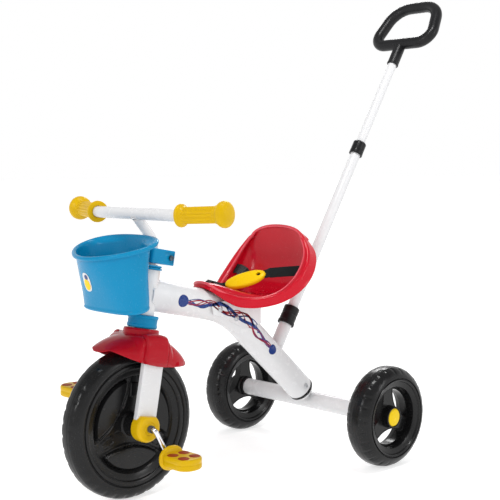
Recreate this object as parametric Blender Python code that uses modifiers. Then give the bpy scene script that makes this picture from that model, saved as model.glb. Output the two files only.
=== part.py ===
"""Toddler tricycle: bent main tube, raked steering with pedals on the front wheel, bucket seat with belt,
front basket and a telescopic push handle. Metres, +X forward, +Y to the rider's left, +Z up.
The origin is on the ground under the middle of the whole object."""
import math

import bmesh
import bpy
from mathutils import Matrix, Vector

# ---------------------------------------------------------------- driving dimensions (millimetres)
SHIFT_X = 348.8            # front wheel axle ahead of the origin
FRONT_R = 130.0            # front wheel radius
FRONT_W = 47.0             # front tyre width
REAR_R = 95.0              # rear wheel radius
REAR_W = 57.0              # rear tyre width
WHEELBASE = 460.0
TRACK = 394.0              # between the middles of the rear wheels
RAKE = math.radians(11.3)  # steering axis leans back
LEG_Y = 48.0               # outer face of a fork leg
LEG_WIDTH = 42.0
CRANK_R = 50.0             # crank length
CRANK_ANGLE = math.radians(244.0)   # left crank, from +X towards +Z
PEDAL_SIZE = (50.0, 69.5, 19.4)
PEDAL_LOW = -2.8           # middle of the tread block below the crank rod
PEDAL_Y = 117.25          # middle of a pedal from the middle plane
ROD_R = 4.2                # crank rod
POLE_ANGLE = math.radians(32.5)     # push pole leans back
GAP = 0.3                  # clearance between touching pieces
BAR_R = 10.2
HEAD_R = 18.7

MM = 0.001
AXIS = Vector((-math.sin(RAKE), 0.0, math.cos(RAKE)))        # steering axis direction
FWD = Vector((math.cos(RAKE), 0.0, math.sin(RAKE)))          # forward, square to the steering axis
HUB = Vector((0.0, 0.0, FRONT_R))
REAR_AXLE = Vector((-WHEELBASE, 0.0, REAR_R))
POLE = Vector((-math.sin(POLE_ANGLE), 0.0, math.cos(POLE_ANGLE)))
POLE_0 = Vector((-351.7, 0.0, 196.6))                        # pole line crosses the main tube's centre line here

for old in list(bpy.data.objects):
    bpy.data.objects.remove(old, do_unlink=True)

PARTS = bpy.data.collections.new("tricycle")
CUTTERS = bpy.data.collections.new("cutters")
bpy.context.scene.collection.children.link(PARTS)
bpy.context.scene.collection.children.link(CUTTERS)


def world(p):
    """Millimetres from under the front axle to metres from the origin."""
    return Vector(((p[0] + SHIFT_X) * MM, p[1] * MM, p[2] * MM))


def on_axis(s, q=0.0, y=0.0):
    """A point s up the steering axis, q ahead of it and y to the left."""
    v = HUB + AXIS * s + FWD * q
    return Vector((v.x, y, v.z))


def on_pole(s, q=0.0, y=0.0):
    side = Vector((math.cos(POLE_ANGLE), 0.0, math.sin(POLE_ANGLE)))
    v = POLE_0 + POLE * s + side * q
    return Vector((v.x, y, v.z))


# ---------------------------------------------------------------- materials
def material(name, rgb, roughness, metallic=0.0):
    m = bpy.data.materials.new(name)
    m.use_nodes = True
    b = m.node_tree.nodes["Principled BSDF"]
    b.inputs["Base Color"].default_value = (*rgb, 1.0)
    b.inputs["Roughness"].default_value = roughness
    b.inputs["Metallic"].default_value = metallic
    m.diffuse_color = (*rgb, 1.0)
    return m


WHITE = material("white_paint", (0.82, 0.82, 0.83), 0.25)
RED = material("red_plastic", (0.62, 0.01, 0.03), 0.2)
BLUE = material("blue_plastic", (0.01, 0.22, 0.50), 0.25)
YELLOW = material("yellow_plastic", (0.80, 0.50, 0.01), 0.35)
BLACK = material("black_plastic", (0.02, 0.02, 0.02), 0.45)
TYRE = material("wheel_plastic", (0.03, 0.03, 0.03), 0.5)
CHROME = material("chrome", (0.75, 0.75, 0.76), 0.1, 1.0)
STEEL = material("zinc_steel", (0.55, 0.55, 0.57), 0.35, 1.0)
WEB = material("webbing", (0.02, 0.02, 0.022), 0.9)
GREY = material("grey_plastic", (0.15, 0.15, 0.15), 0.4)


# ---------------------------------------------------------------- tools
def frame_matrix(origin, z_dir, x_hint=(1.0, 0.0, 0.0)):
    """Local frame at a point in millimetres, its Z along z_dir."""
    z = Vector(z_dir).normalized()
    x = Vector(x_hint)
    x = (x - z * x.dot(z)).normalized()
    y = z.cross(x)
    m = Matrix((x, y, z)).transposed().to_4x4()
    m.translation = world(origin)
    return m


def finish(obj, mat, parent=None, smooth=35.0):
    obj.data.materials.clear()
    obj.data.materials.append(mat)
    if smooth:
        obj.data.shade_smooth()
        obj.data.set_sharp_from_angle(angle=math.radians(smooth))
    if parent is not None:
        mw = obj.matrix_world.copy()
        obj.parent = parent
        obj.matrix_parent_inverse = parent.matrix_world.inverted()
        obj.matrix_world = mw
    return obj


def place(name, mesh, matrix, collection=PARTS):
    obj = bpy.data.objects.new(name, mesh)
    collection.objects.link(obj)
    obj.matrix_world = matrix
    return obj


def bake(obj, weld=0.000002, tris=False):
    """The evaluated object as a plain mesh object of the same name and place."""
    dg = bpy.context.evaluated_depsgraph_get()
    dg.update()
    me = bpy.data.meshes.new_from_object(obj.evaluated_get(dg))
    bm = bmesh.new()
    bm.from_mesh(me)
    bmesh.ops.remove_doubles(bm, verts=bm.verts, dist=weld)
    bmesh.ops.dissolve_degenerate(bm, dist=0.0000005, edges=bm.edges)
    if tris:
        bmesh.ops.triangulate(bm, faces=bm.faces)
    bmesh.ops.recalc_face_normals(bm, faces=bm.faces)
    bm.to_mesh(me)
    bm.free()
    name, mw, colls = obj.name, obj.matrix_world.copy(), list(obj.users_collection)
    bpy.data.objects.remove(obj, do_unlink=True)
    new = bpy.data.objects.new(name, me)
    for c in colls:
        c.objects.link(new)
    new.matrix_world = mw
    return new


def turned(name, profile, matrix, steps=24, collection=PARTS, closed=True):
    """Turned body: profile of (radius, height) in mm, outer side from top to bottom, about local Z."""
    me = bpy.data.meshes.new(name)
    bm = bmesh.new()
    vs = [bm.verts.new((r * MM, 0.0, h * MM)) for r, h in profile]
    for a, b in zip(vs, vs[1:]):
        bm.edges.new((a, b))
    if closed:
        bm.edges.new((vs[-1], vs[0]))
    bm.to_mesh(me)
    bm.free()
    obj = place(name, me, matrix, collection)
    m = obj.modifiers.new("turn", "SCREW")
    m.axis = "Z"
    m.steps = m.render_steps = steps
    m.use_merge_vertices = True
    m.merge_threshold = 0.00001
    m.use_normal_calculate = False
    return obj


def ring(name, r_out, r_in, h0, h1, matrix, steps=24, chamfer=0.0, collection=PARTS):
    """Tube or washer between two heights, with small chamfers outside."""
    c = chamfer
    if c:
        prof = [(r_in, h1), (r_out - c, h1), (r_out, h1 - c), (r_out, h0 + c), (r_out - c, h0), (r_in, h0)]
    else:
        prof = [(r_in, h1), (r_out, h1), (r_out, h0), (r_in, h0)]
    return turned(name, prof, matrix, steps, collection)


def rod(name, r, h0, h1, matrix, steps=16, chamfer=0.6, collection=PARTS):
    """Solid round bar with chamfered ends."""
    c = chamfer
    prof = [(0.0, h1), (r - c, h1), (r, h1 - c), (r, h0 + c), (r - c, h0), (0.0, h0)]
    return turned(name, prof, matrix, steps, collection, closed=False)


def box(name, size, matrix, bevel=1.0, segments=2, collection=PARTS):
    me = bpy.data.meshes.new(name)
    bm = bmesh.new()
    bmesh.ops.create_cube(bm, size=1.0)
    bmesh.ops.scale(bm, vec=Vector(size) * MM, verts=bm.verts)
    bm.to_mesh(me)
    bm.free()
    obj = place(name, me, matrix, collection)
    if bevel:
        b = obj.modifiers.new("edges", "BEVEL")
        b.width = bevel * MM
        b.segments = segments
        b.limit_method = "ANGLE"
    return obj


def fillet_path(points, radii, step=6):
    """Polyline with rounded corners; points in mm, a radius for each inner corner."""
    pts = [Vector(p) for p in points]
    out = [pts[0]]
    for i in range(1, len(pts) - 1):
        a, b, c = pts[i - 1], pts[i], pts[i + 1]
        u, v = (a - b).normalized(), (c - b).normalized()
        ang = u.angle(v)
        r = radii[i - 1]
        t = r / math.tan(ang / 2)
        s, e = b + u * t, b + v * t
        centre = b + (u + v).normalized() * (r / math.sin(ang / 2))
        a0, a1 = s - centre, e - centre
        th = a0.angle(a1)
        for k in range(step + 1):
            w = k / step
            out.append(centre + (a0 * math.sin((1 - w) * th) + a1 * math.sin(w * th)) / math.sin(th))
    out.append(pts[-1])
    return out


def tube(name, points, radius, res=2, radii=None, cyclic=False, collection=PARTS):
    """Round bar along points in mm, made a closed mesh."""
    cu = bpy.data.curves.new(name, "CURVE")
    cu.dimensions = "3D"
    cu.bevel_depth = radius * MM
    cu.bevel_resolution = res
    cu.use_fill_caps = True
    cu.twist_mode = "MINIMUM"
    sp = cu.splines.new("POLY")
    sp.points.add(len(points) - 1)
    for i, p in enumerate(points):
        w = world(p)
        sp.points[i].co = (w.x, w.y, w.z, 1.0)
        sp.points[i].radius = 1.0 if radii is None else radii[i] / radius
    sp.use_cyclic_u = cyclic
    obj = bpy.data.objects.new(name, cu)
    collection.objects.link(obj)
    return bake(obj)


def outline_solid(name, pts, half, matrix, collection=PARTS, holes=()):
    """Flat outline in mm in the local XY plane, extruded half each way along local Z."""
    cu = bpy.data.curves.new(name, "CURVE")
    cu.dimensions = "2D"
    cu.fill_mode = "BOTH"
    cu.extrude = half * MM
    for loop in [pts, *holes]:
        sp = cu.splines.new("POLY")
        sp.points.add(len(loop) - 1)
        for i, (x, y) in enumerate(loop):
            sp.points[i].co = (x * MM, y * MM, 0.0, 1.0)
        sp.use_cyclic_u = True
    obj = bpy.data.objects.new(name, cu)
    collection.objects.link(obj)
    obj.matrix_world = matrix
    return bake(obj)


def boolean(obj, other, operation="DIFFERENCE", hide=True):
    m = obj.modifiers.new("bool", "BOOLEAN")
    m.operation = operation
    m.object = other
    m.solver = "EXACT"
    if hide:
        other.hide_render = True
        other.display_type = "WIRE"
        for c in list(other.users_collection):
            c.objects.unlink(other)
        CUTTERS.objects.link(other)
    return obj


def grid_shell(name, rows, thickness, closed_u=False, offset=-1.0):
    """Open surface through rows of points in mm, given a thickness."""
    me = bpy.data.meshes.new(name)
    bm = bmesh.new()
    vv = [[bm.verts.new(world(p)) for p in row] for row in rows]
    for a, b in zip(vv, vv[1:]):
        n = len(a)
        for j in range(n if closed_u else n - 1):
            k = (j + 1) % n
            quad = [a[j], a[k], b[k], b[j]]
            if len({tuple(round(c, 7) for c in v.co) for v in quad}) == 4:
                bm.faces.new(quad)
    bmesh.ops.remove_doubles(bm, verts=bm.verts, dist=0.00001)
    bm.to_mesh(me)
    bm.free()
    obj = place(name, me, Matrix())
    s = obj.modifiers.new("wall", "SOLIDIFY")
    s.thickness = thickness * MM
    s.offset = offset
    s.use_even_offset = True
    return obj


def lerp_table(table, t):
    """Smooth value at t of a table of rows (t, a, b, ...), Catmull-Rom between the rows."""
    if t <= table[0][0]:
        return list(table[0][1:])
    if t >= table[-1][0]:
        return list(table[-1][1:])
    i = max(k for k in range(len(table) - 1) if table[k][0] <= t)
    t0, t1 = table[i][0], table[i + 1][0]
    w = (t - t0) / (t1 - t0)
    out = []
    for c in range(1, len(table[0])):
        p1, p2 = table[i][c], table[i + 1][c]
        m1 = (p2 - table[i - 1][c]) / (t1 - table[i - 1][0]) if i > 0 else (p2 - p1) / (t1 - t0)
        m2 = (table[i + 2][c] - p1) / (table[i + 2][0] - t0) if i + 2 < len(table) else (p2 - p1) / (t1 - t0)
        h = t1 - t0
        out.append((2 * w**3 - 3 * w**2 + 1) * p1 + (w**3 - 2 * w**2 + w) * h * m1
                   + (-2 * w**3 + 3 * w**2) * p2 + (w**3 - w**2) * h * m2)
    return out


def empty(name, matrix):
    e = bpy.data.objects.new(name, None)
    PARTS.objects.link(e)
    e.matrix_world = matrix
    return e


AXIS_M = frame_matrix(HUB, AXIS)                       # local Z up the steering axis
Y_HUB = frame_matrix(HUB, (0.0, 1.0, 0.0))             # local Z along the front axle
Y_REAR = frame_matrix(REAR_AXLE, (0.0, 1.0, 0.0))
POLE_M = frame_matrix(POLE_0, POLE)

steer = empty("steer_pivot", AXIS_M)
wheel_pivot = empty("front_wheel_pivot", Y_HUB)
wheel_pivot.parent = steer
wheel_pivot.matrix_world = Y_HUB


# ---------------------------------------------------------------- main tube, head tube, axle tube
def main_line(extra_front=0.0, extra_rear=0.0):
    """Centre line of the main tube: head, bend, rear end."""
    d1 = Vector((-0.973, 0.0, -0.23)).normalized()
    d2 = Vector((-0.737, 0.0, -0.676)).normalized()
    head = Vector((-43.0, 0.0, 350.7))
    bend = Vector((-232.6, 0.0, 305.8))
    rear = Vector((-430.0, 0.0, 124.7))
    return fillet_path([head - d1 * extra_front, bend, rear + d2 * extra_rear], [190.0], 7)


MAIN_DIR = Vector((-0.737, 0.0, -0.676)).normalized()
MAIN_END = Vector((-430.0, 0.0, 124.7))

line = main_line()
n_line = len(line)
outer_r = [28.3 - 2.1 * i / (n_line - 1) for i in range(n_line)]
main = tube("main_tube", line, 28.3, 6, outer_r)
inner = tube("cut_main_bore", main_line(10.0, 12.0), 26.7, 4, [r - 1.8 for r in outer_r], collection=CUTTERS)
boolean(main, inner)
boolean(main, rod("cut_main_head", HEAD_R + GAP, 150.0, 300.0, AXIS_M, 20, 0.0))
solid_main = tube("cut_main_outside", line, 28.6, 6, [r + GAP for r in outer_r], collection=CUTTERS)
finish(main, WHITE)

head = ring("head_tube", HEAD_R, 15.65, 188.3, 267.7, AXIS_M, 20)
finish(head, WHITE)

lower_bush = turned("lower_headset_bush", [
    (13.1, 199.0), (15.3, 199.0), (15.3, 188.0), (25.5, 188.0), (27.0, 185.5), (27.0, 168.0),
    (25.5, 165.8), (13.1, 165.8)], AXIS_M, 20)
finish(lower_bush, BLUE)
upper_bush = turned("upper_headset_bush", [
    (13.1, 275.5), (20.0, 275.5), (21.0, 274.0), (21.0, 268.0), (15.3, 268.0), (15.3, 258.0), (13.1, 258.0)],
    AXIS_M, 20)
finish(upper_bush, BLUE)

axle_tube = ring("rear_axle_tube", 17.0, 15.2, -179.0, 179.0, Y_REAR, 20)
finish(axle_tube, WHITE)

STUB_M = frame_matrix(MAIN_END, MAIN_DIR)
stub = ring("axle_stub_tube", 20.5, 17.5, -46.0, 45.0, STUB_M, 20)
boolean(stub, rod("cut_stub_cope", 17.0 + GAP, -60.0, 60.0, Y_REAR, 20, 0.0))
finish(stub, WHITE)
# the part of the stub beyond the axle tube is trimmed away
boolean(stub, box("cut_stub_rear", (90.0, 90.0, 60.0), frame_matrix(MAIN_END + MAIN_DIR * 71.0, MAIN_DIR), 0.0))

end_ring = turned("main_tube_end_ring", [
    (20.9, 8.0), (24.5, 8.0), (26.4, 6.0), (26.4, 0.3), (23.2, 0.3), (23.2, -30.0), (20.9, -30.0)], STUB_M, 20)
finish(end_ring, BLACK)

axle_rod = rod("rear_axle_rod", 5.0, -216.5, 216.5, Y_REAR, 14, 0.6)
finish(axle_rod, STEEL)

for side, sgn in (("left", 1.0), ("right", -1.0)):
    m = Y_REAR if sgn > 0 else frame_matrix(REAR_AXLE, (0.0, -1.0, 0.0))
    b = turned(f"axle_bush_{side}", [
        (5.3, 181.6), (17.5, 181.6), (19.3, 181.0), (19.3, 179.3), (14.9, 179.3), (14.9, 160.0), (5.3, 160.0)], m, 16)
    finish(b, BLACK)

# bolt that holds the stub in the main tube
BOLT_END = MAIN_END - MAIN_DIR * 12.0
bolt_m = frame_matrix(BOLT_END, (0.0, 1.0, 0.0))
boolean(main, rod("cut_end_bolt_main", 3.4, -40.0, 40.0, bolt_m, 8, 0.0))
boolean(stub, rod("cut_end_bolt_stub", 3.4, -40.0, 40.0, bolt_m, 8, 0.0))
boolean(end_ring, rod("cut_end_bolt_ring", 3.4, -40.0, 40.0, bolt_m, 8, 0.0))
stub_bolt = turned("stub_bolt", [
    (0.0, 29.6), (2.4, 29.4), (4.4, 28.4), (5.0, 26.9), (3.0, 26.9), (3.0, -33.5), (0.0, -33.5)], bolt_m, 12,
    closed=False)
finish(stub_bolt, STEEL)
stub_nut = turned("stub_nut", [
    (3.8, -26.9), (6.2, -26.9), (6.2, -31.2), (3.8, -31.2)], bolt_m, 6)
finish(stub_nut, STEEL, smooth=0)

# ---------------------------------------------------------------- pole socket
socket = ring("pole_socket_tube", 12.9, 11.1, 10.0, 104.0, POLE_M, 16)
boolean(socket, solid_main)
finish(socket, WHITE)
socket_collar = turned("socket_collar", [
    (11.0, 110.0), (13.6, 110.0), (15.2, 108.4), (15.2, 80.0), (16.4, 76.0), (16.4, 72.0), (13.3, 72.0),
    (13.3, 104.3), (11.0, 104.3)], POLE_M, 16)
finish(socket_collar, BLACK)

# ---------------------------------------------------------------- seat bracket on the main tube
cheek = [(-168.0, 323.5), (-172.0, 303.0), (-190.0, 298.0), (-238.0, 274.0), (-256.0, 270.0), (-292.0, 274.0),
         (-292.0, 321.7), (-338.0, 321.7), (-338.0, 324.7), (-272.0, 324.7), (-232.0, 325.0), (-200.0, 325.0),
         (-176.0, 324.5)]
M_XZ = Matrix(((1, 0, 0, SHIFT_X * MM), (0, 0, -1, 0), (0, 1, 0, 0), (0, 0, 0, 1)))   # local XY is world XZ
bracket = outline_solid("seat_bracket", cheek, 31.6, M_XZ)
inside = [(-150.0, 200.0), (-150.0, 360.0), (-268.0, 360.0), (-268.0, 321.7), (-360.0, 321.7), (-360.0, 200.0)]
boolean(bracket, outline_solid("cut_bracket_inside", inside, 28.8, M_XZ, CUTTERS))
finish(bracket, WHITE, smooth=0)

SEAT_BOLTS = [Vector((-189.0, 0.0, 311.5)), Vector((-229.0, 0.0, 290.5))]
for i, pos in enumerate(SEAT_BOLTS):
    bm_ = frame_matrix(pos, (0.0, 1.0, 0.0))
    tag = ("front", "rear")[i]
    boolean(bracket, rod(f"cut_bracket_bolt_{tag}", 3.4, -40.0, 40.0, bm_, 8, 0.0))
    boolean(main, rod(f"cut_main_bolt_{tag}", 3.4, -40.0, 40.0, bm_, 8, 0.0))
    sb = turned(f"seat_bolt_{tag}", [
        (0.0, 34.8), (2.6, 34.5), (4.8, 33.4), (5.4, 31.9), (3.0, 31.9), (3.0, -39.0), (0.0, -39.0)], bm_, 12,
        closed=False)
    finish(sb, STEEL)
    sn = turned(f"seat_nut_{tag}", [(3.8, -31.9), (6.2, -31.9), (6.2, -36.6), (3.8, -36.6)], bm_, 6)
    finish(sn, STEEL, smooth=0)

# ---------------------------------------------------------------- seat shell
# rim of the bucket from the nose (t 0) round the left side to the middle of the back (t 1): x, half width, height
SEAT_RIM = [
    (0.00, -164.0, 0.0, 356.5), (0.05, -168.0, 13.0, 356.5), (0.10, -175.0, 24.5, 352.5), (0.16, -188.0, 32.5, 343.5),
    (0.22, -204.0, 40.0, 335.0), (0.29, -223.0, 49.0, 328.8), (0.36, -245.0, 63.0, 325.0), (0.43, -266.0, 78.5, 327.5),
    (0.50, -287.0, 94.5, 336.0), (0.57, -307.0, 104.0, 349.0), (0.64, -326.0, 107.5, 364.0),
    (0.71, -342.0, 106.5, 381.0), (0.78, -354.5, 101.0, 399.0), (0.84, -363.0, 91.0, 415.5), (0.90, -369.0, 74.0, 432.0),
    (0.95, -371.5, 45.0, 447.0), (1.00, -372.0, 0.0, 455.0)]
# middle line of the seat from the nose over the pommel, the floor and the back to the top edge
SEAT_MID = [
    (0.00, -164.0, 0.0, 356.5), (0.08, -168.0, 0.0, 358.0), (0.16, -180.0, 0.0, 359.0), (0.22, -194.0, 0.0, 356.8),
    (0.29, -214.0, 0.0, 350.0), (0.37, -242.0, 0.0, 339.8), (0.45, -275.0, 0.0, 330.8), (0.53, -310.0, 0.0, 327.8),
    (0.62, -347.0, 0.0, 333.0), (0.70, -372.0, 0.0, 352.0), (0.78, -382.5, 0.0, 385.0), (0.85, -380.5, 0.0, 421.0),
    (0.89, -376.5, 0.0, 445.0), (1.00, -360.0, 0.0, 500.0)]


# width of the shoulder inside the rim
SHOULDER = [(0.0, 3.0), (0.10, 4.0), (0.25, 7.0), (0.40, 11.0), (0.52, 16.0), (0.64, 18.0), (0.82, 17.0), (0.92, 13.0),
            (1.0, 8.0)]


def seat_up(p):
    """Direction in which the bucket opens at a point of its rim."""
    w = max(0.0, min(1.0, (p.z - 325.0) / 90.0)) if p.x < -230.0 else 0.0
    return Vector((0.12 + 0.68 * w, 0.0, 0.99 - 0.42 * w)).normalized(), w


def rim_inner(t):
    """Inner edge of the shoulder on the left side."""
    e = 0.004
    p = Vector(lerp_table(SEAT_RIM, t))
    tan = (Vector(lerp_table(SEAT_RIM, min(1.0, t + e))) - Vector(lerp_table(SEAT_RIM, max(0.0, t - e)))).normalized()
    up, _ = seat_up(p)
    o = tan.cross(up).normalized()
    if o.dot(p - Vector((-270.0, 0.0, 360.0))) < 0:
        o = -o
    q = p - o * lerp_table(SHOULDER, t)[0] - up * 2.0
    q.y = max(0.0, q.y)
    return q


def seat_point(t, v):
    """Point of the bowl: t along the seat from the nose, v from -1 (right edge) to 1 (left edge)."""
    rx, ry, rz = rim_inner(t)
    mx, _, mz = lerp_table(SEAT_MID, 0.02 + 0.965 * t)
    a = abs(v) * math.pi / 2
    flat = 2.0 / (2.0 + 0.9 * math.sin(math.pi * min(1.0, max(0.0, t))))
    y = math.sin(a) ** flat
    h = 1.0 - max(0.0, math.cos(a)) ** flat
    return Vector((mx + (rx - mx) * h, math.copysign(ry * y, v), mz + (rz - mz) * h))


def seat_rows(nt, nv, t0=0.10, t1=0.90):
    ts = [t0 + (t1 - t0) * (0.35 * (i / nt) + 0.65 * (0.5 - 0.5 * math.cos(math.pi * i / nt))) for i in range(nt + 1)]
    return [[seat_point(t, -1.0 + 2.0 * j / nv) for j in range(nv + 1)] for t in ts], ts


def around(grid, nt, nv):
    """The border of a grid of rows as one loop."""
    return ([grid[0][j] for j in range(nv + 1)] + [grid[i][nv] for i in range(1, nt + 1)]
            + [grid[nt][j] for j in range(nv - 1, -1, -1)] + [grid[i][0] for i in range(nt - 1, 0, -1)])


def lip_rings(loop, widths, steps):
    """Loops outside the bowl: over the shoulder, over the crest and down the flange."""
    n = len(loop)
    frames = []
    for i, p in enumerate(loop):
        tan = (loop[(i + 1) % n] - loop[i - 1]).normalized()
        up, w = seat_up(p)
        o = tan.cross(up).normalized()
        if o.dot(p - Vector((-270.0, 0.0, p.z))) < 0:
            o = -o
        u = (up - tan * up.dot(tan)).normalized()
        frames.append((o, u, w, widths[i]))
    return [[p + o * (k * s + a) + u * (b * (1.0 + 0.35 * w)) for p, (o, u, w, s) in zip(loop, frames)]
            for k, a, b in steps]


NT, NV = 12, 8
rows, seat_ts = seat_rows(NT, NV)
border = around(rows, NT, NV)
spans = [[lerp_table(SHOULDER, t)[0] for _ in range(NV + 1)] for t in seat_ts]
spans[NT] = [w * (0.65 + 0.35 * abs(-1.0 + 2.0 * j / NV)) for j, w in enumerate(spans[NT])]
widths = around(spans, NT, NV)
rings = lip_rings(border, widths, [(1.0, -2.0, 1.8), (1.0, 1.4, -1.0), (1.0, 4.4, -15.5)])

me = bpy.data.meshes.new("seat_shell")
bm = bmesh.new()
vv = [[bm.verts.new(world(p)) for p in row] for row in rows]
for a, b in zip(vv, vv[1:]):
    for j in range(NV):
        bm.faces.new((a[j], b[j], b[j + 1], a[j + 1]))
edge = around(vv, NT, NV)
for lr in rings:
    nxt = [bm.verts.new(world(p)) for p in lr]
    for i in range(len(edge)):
        k = (i + 1) % len(edge)
        bm.faces.new((edge[i], edge[k], nxt[k], nxt[i]))
    edge = nxt
bmesh.ops.recalc_face_normals(bm, faces=bm.faces)
probe = min(bm.faces, key=lambda f: (f.calc_center_median() - world((-303.0, 0.0, 328.0))).length)
if probe.normal.z < 0:
    bmesh.ops.reverse_faces(bm, faces=bm.faces)
bm.to_mesh(me)
bm.free()
seat = place("seat_shell", me, Matrix())
sol = seat.modifiers.new("wall", "SOLIDIFY")
sol.thickness = 3.0 * MM
sol.offset = -1.0
seat = bake(seat, tris=True)
boolean(seat, rod("cut_seat_nose", 28.9, -70.0, 60.0, frame_matrix((-180.0, 0.0, 318.2), (-0.973, 0.0, -0.23)), 20, 0.0))
seat = bake(seat, tris=True)


# ---------------------------------------------------------------- wheels
def wheel_profile(R, W, rnd, r_step, r_lip, r_dish, web, r_hub, hub_top, hub_bottom, bore):
    """Closed profile of a one-piece wheel, clockwise from the bore's top edge."""
    h = W / 2
    top = [(bore, hub_top), (r_hub, hub_top), (r_hub + 3.0, web), (r_dish - 2.0, web), (r_dish, h - 7.0),
           (r_lip, h - 4.5), (r_lip + 1.0, h - 1.0)]
    arc = []
    for k in range(4):
        a = math.pi / 2 * k / 3
        arc.append((R - rnd + rnd * math.sin(a), h - rnd + rnd * math.cos(a)))
    arc_b = [(r, -z) for r, z in reversed(arc)]
    low = [(r, -z) for r, z in reversed(top[2:])]
    low += [(r_hub, hub_bottom), (bore, hub_bottom)]
    return top + arc + arc_b + low


def lens(r_out, r_in, half, centre, n=5):
    """Outline of a wheel opening: an arc along the rim and an arc that bulges to the hub."""
    pts = []
    for k in range(n + 1):
        a = centre - half + 2 * half * k / n
        pts.append((r_out * math.cos(a), r_out * math.sin(a)))
    p1 = Vector((r_out * math.cos(half), r_out * math.sin(half)))
    c = (p1.length_squared - r_in**2) / (2 * (p1.x - r_in))        # centre of the inner arc on the opening's axis
    rad = c - r_in
    a1 = math.atan2(p1.y, c - p1.x)
    for k in range(1, n):
        a = a1 - 2 * a1 * k / n
        x, y = c - rad * math.cos(a), rad * math.sin(a)
        pts.append((x * math.cos(centre) - y * math.sin(centre), x * math.sin(centre) + y * math.cos(centre)))
    return pts


def wheel(name, centre, profile, spoke_angle, r_out, r_in, steps, floor=0.0):
    """Wheel about the world Y line through centre; spoke_angle is from +X towards +Z. With a floor the three
    openings are pockets from both sides, with a wall of twice that thickness between them."""
    m = frame_matrix(centre, (0.0, 1.0, 0.0))
    w = turned(name, profile, m, steps)
    w = bake(w)
    for k in range(3):
        a = -(spoke_angle + math.radians(60.0 + 120.0 * k))        # local Y is world -Z
        pts = lens(r_out, r_in, math.radians(47.0), a)
        if not floor:
            boolean(w, outline_solid(f"cut_{name}_{k}", pts, 12.0, m, CUTTERS))
            continue
        for side in (1.0, -1.0):
            mm = m @ Matrix.Translation((0.0, 0.0, side * (floor + 8.0) * MM))
            boolean(w, outline_solid(f"cut_{name}_{k}_{'l' if side > 0 else 'r'}", pts, 8.0, mm, CUTTERS))
    return w


front_profile = wheel_profile(FRONT_R, FRONT_W, 20.0, 106.0, 96.0, 85.0, 9.0, 19.0, 35.5, -35.5, 4.6)
front = wheel("front_wheel", HUB, front_profile, math.radians(-24.0), 79.0, 38.0, 32, 1.5)
finish(front, TYRE, wheel_pivot)

rear_profile = wheel_profile(REAR_R, REAR_W, 24.0, 74.0, 68.0, 58.5, 7.0, 17.0, 9.0, -14.8, 5.4)
for side, sgn in (("left", 1.0), ("right", -1.0)):
    c = REAR_AXLE + Vector((0.0, sgn * TRACK / 2, 0.0))
    prof = rear_profile if sgn > 0 else [(r, -z) for r, z in reversed(rear_profile)]
    rw = wheel(f"rear_wheel_{side}", c, prof, math.radians(-38.0 if sgn > 0 else -30.0), 53.5, 25.0, 24)
    finish(rw, TYRE)
    m = frame_matrix(c, (0.0, sgn, 0.0))
    cap = turned(f"rear_hub_cap_{side}", [
        (0.0, 23.0), (12.0, 22.6), (17.6, 21.2), (19.8, 18.0), (19.8, 9.4), (17.6, 9.4), (17.6, 17.5), (15.5, 19.6),
        (0.0, 20.6)], m, 20, closed=False)
    finish(cap, YELLOW)
    nut = turned(f"push_nut_{side}", [
        (5.15, 15.6), (7.0, 15.6), (9.0, 12.0), (9.0, 9.4), (5.15, 9.4)], m, 16)
    finish(nut, STEEL)

# ---------------------------------------------------------------- crank and pedals
crank = Vector((math.cos(CRANK_ANGLE), 0.0, math.sin(CRANK_ANGLE))) * CRANK_R
HALF = Vector((0.0, 1.0, 0.0))
path = [HUB - crank - HALF * 146.0, HUB - crank - HALF * 77.5, HUB - HALF * 74.0, HUB + HALF * 74.0,
        HUB + crank + HALF * 77.5, HUB + crank + HALF * 146.0]
crank_axle = tube("crank_axle", fillet_path(path, [6.5, 6.5, 6.5, 6.5], 4), ROD_R, 2)
finish(crank_axle, CHROME, wheel_pivot)

for side, sgn in (("left", 1.0), ("right", -1.0)):
    c = HUB + crank * sgn + HALF * (sgn * PEDAL_Y)
    me = bpy.data.meshes.new(f"pedal_{side}")
    bm = bmesh.new()
    bmesh.ops.create_cube(bm, size=1.0)
    bmesh.ops.scale(bm, vec=Vector(PEDAL_SIZE) * MM, verts=bm.verts)
    bmesh.ops.translate(bm, vec=Vector((0.0, 0.0, PEDAL_LOW)) * MM, verts=bm.verts)
    inner_edges = [e for e in bm.edges if abs(e.verts[0].co.z - e.verts[1].co.z) > 0.01]
    bmesh.ops.bevel(bm, geom=inner_edges, offset=19.0 * MM, segments=4, affect="EDGES", profile=0.5)
    bm.to_mesh(me)
    bm.free()
    pedal = place(f"pedal_{side}", me, Matrix.Translation(world(c)))
    bv = pedal.modifiers.new("edges", "BEVEL")
    bv.width = 4.0 * MM
    bv.segments = 2
    bv.limit_method = "ANGLE"
    bv.angle_limit = math.radians(40)
    end_m = frame_matrix(c + Vector((0.0, -sgn * 28.4, -3.0)), (0.0, sgn, 0.0)) @ Matrix.Diagonal((25.5 / 21.0, 1.0, 1.0, 1.0))
    end = bake(turned(f"pedal_end_{side}", [
        (0.0, 5.6), (17.0, 5.6), (21.0, 2.4), (21.0, -2.4), (17.0, -5.6), (0.0, -5.6)], end_m, 24, closed=False))
    boolean(pedal, end, "UNION")
    boolean(pedal, rod(f"cut_pedal_{side}", ROD_R + 0.5, -60.0, 30.0, frame_matrix(c, (0.0, sgn, 0.0)), 12, 0.0))
    finish(pedal, YELLOW, wheel_pivot)

# ---------------------------------------------------------------- fork, hub covers
steerer = ring("steerer_tube", 12.7, 9.6, 142.3, 277.5, AXIS_M, 20)
finish(steerer, WHITE, steer)
crown = box("fork_crown", (LEG_WIDTH, 2 * LEG_Y - 1.0, 6.0), frame_matrix(on_axis(139.0), AXIS), 1.5, 1)
finish(crown, WHITE, steer)

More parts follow.
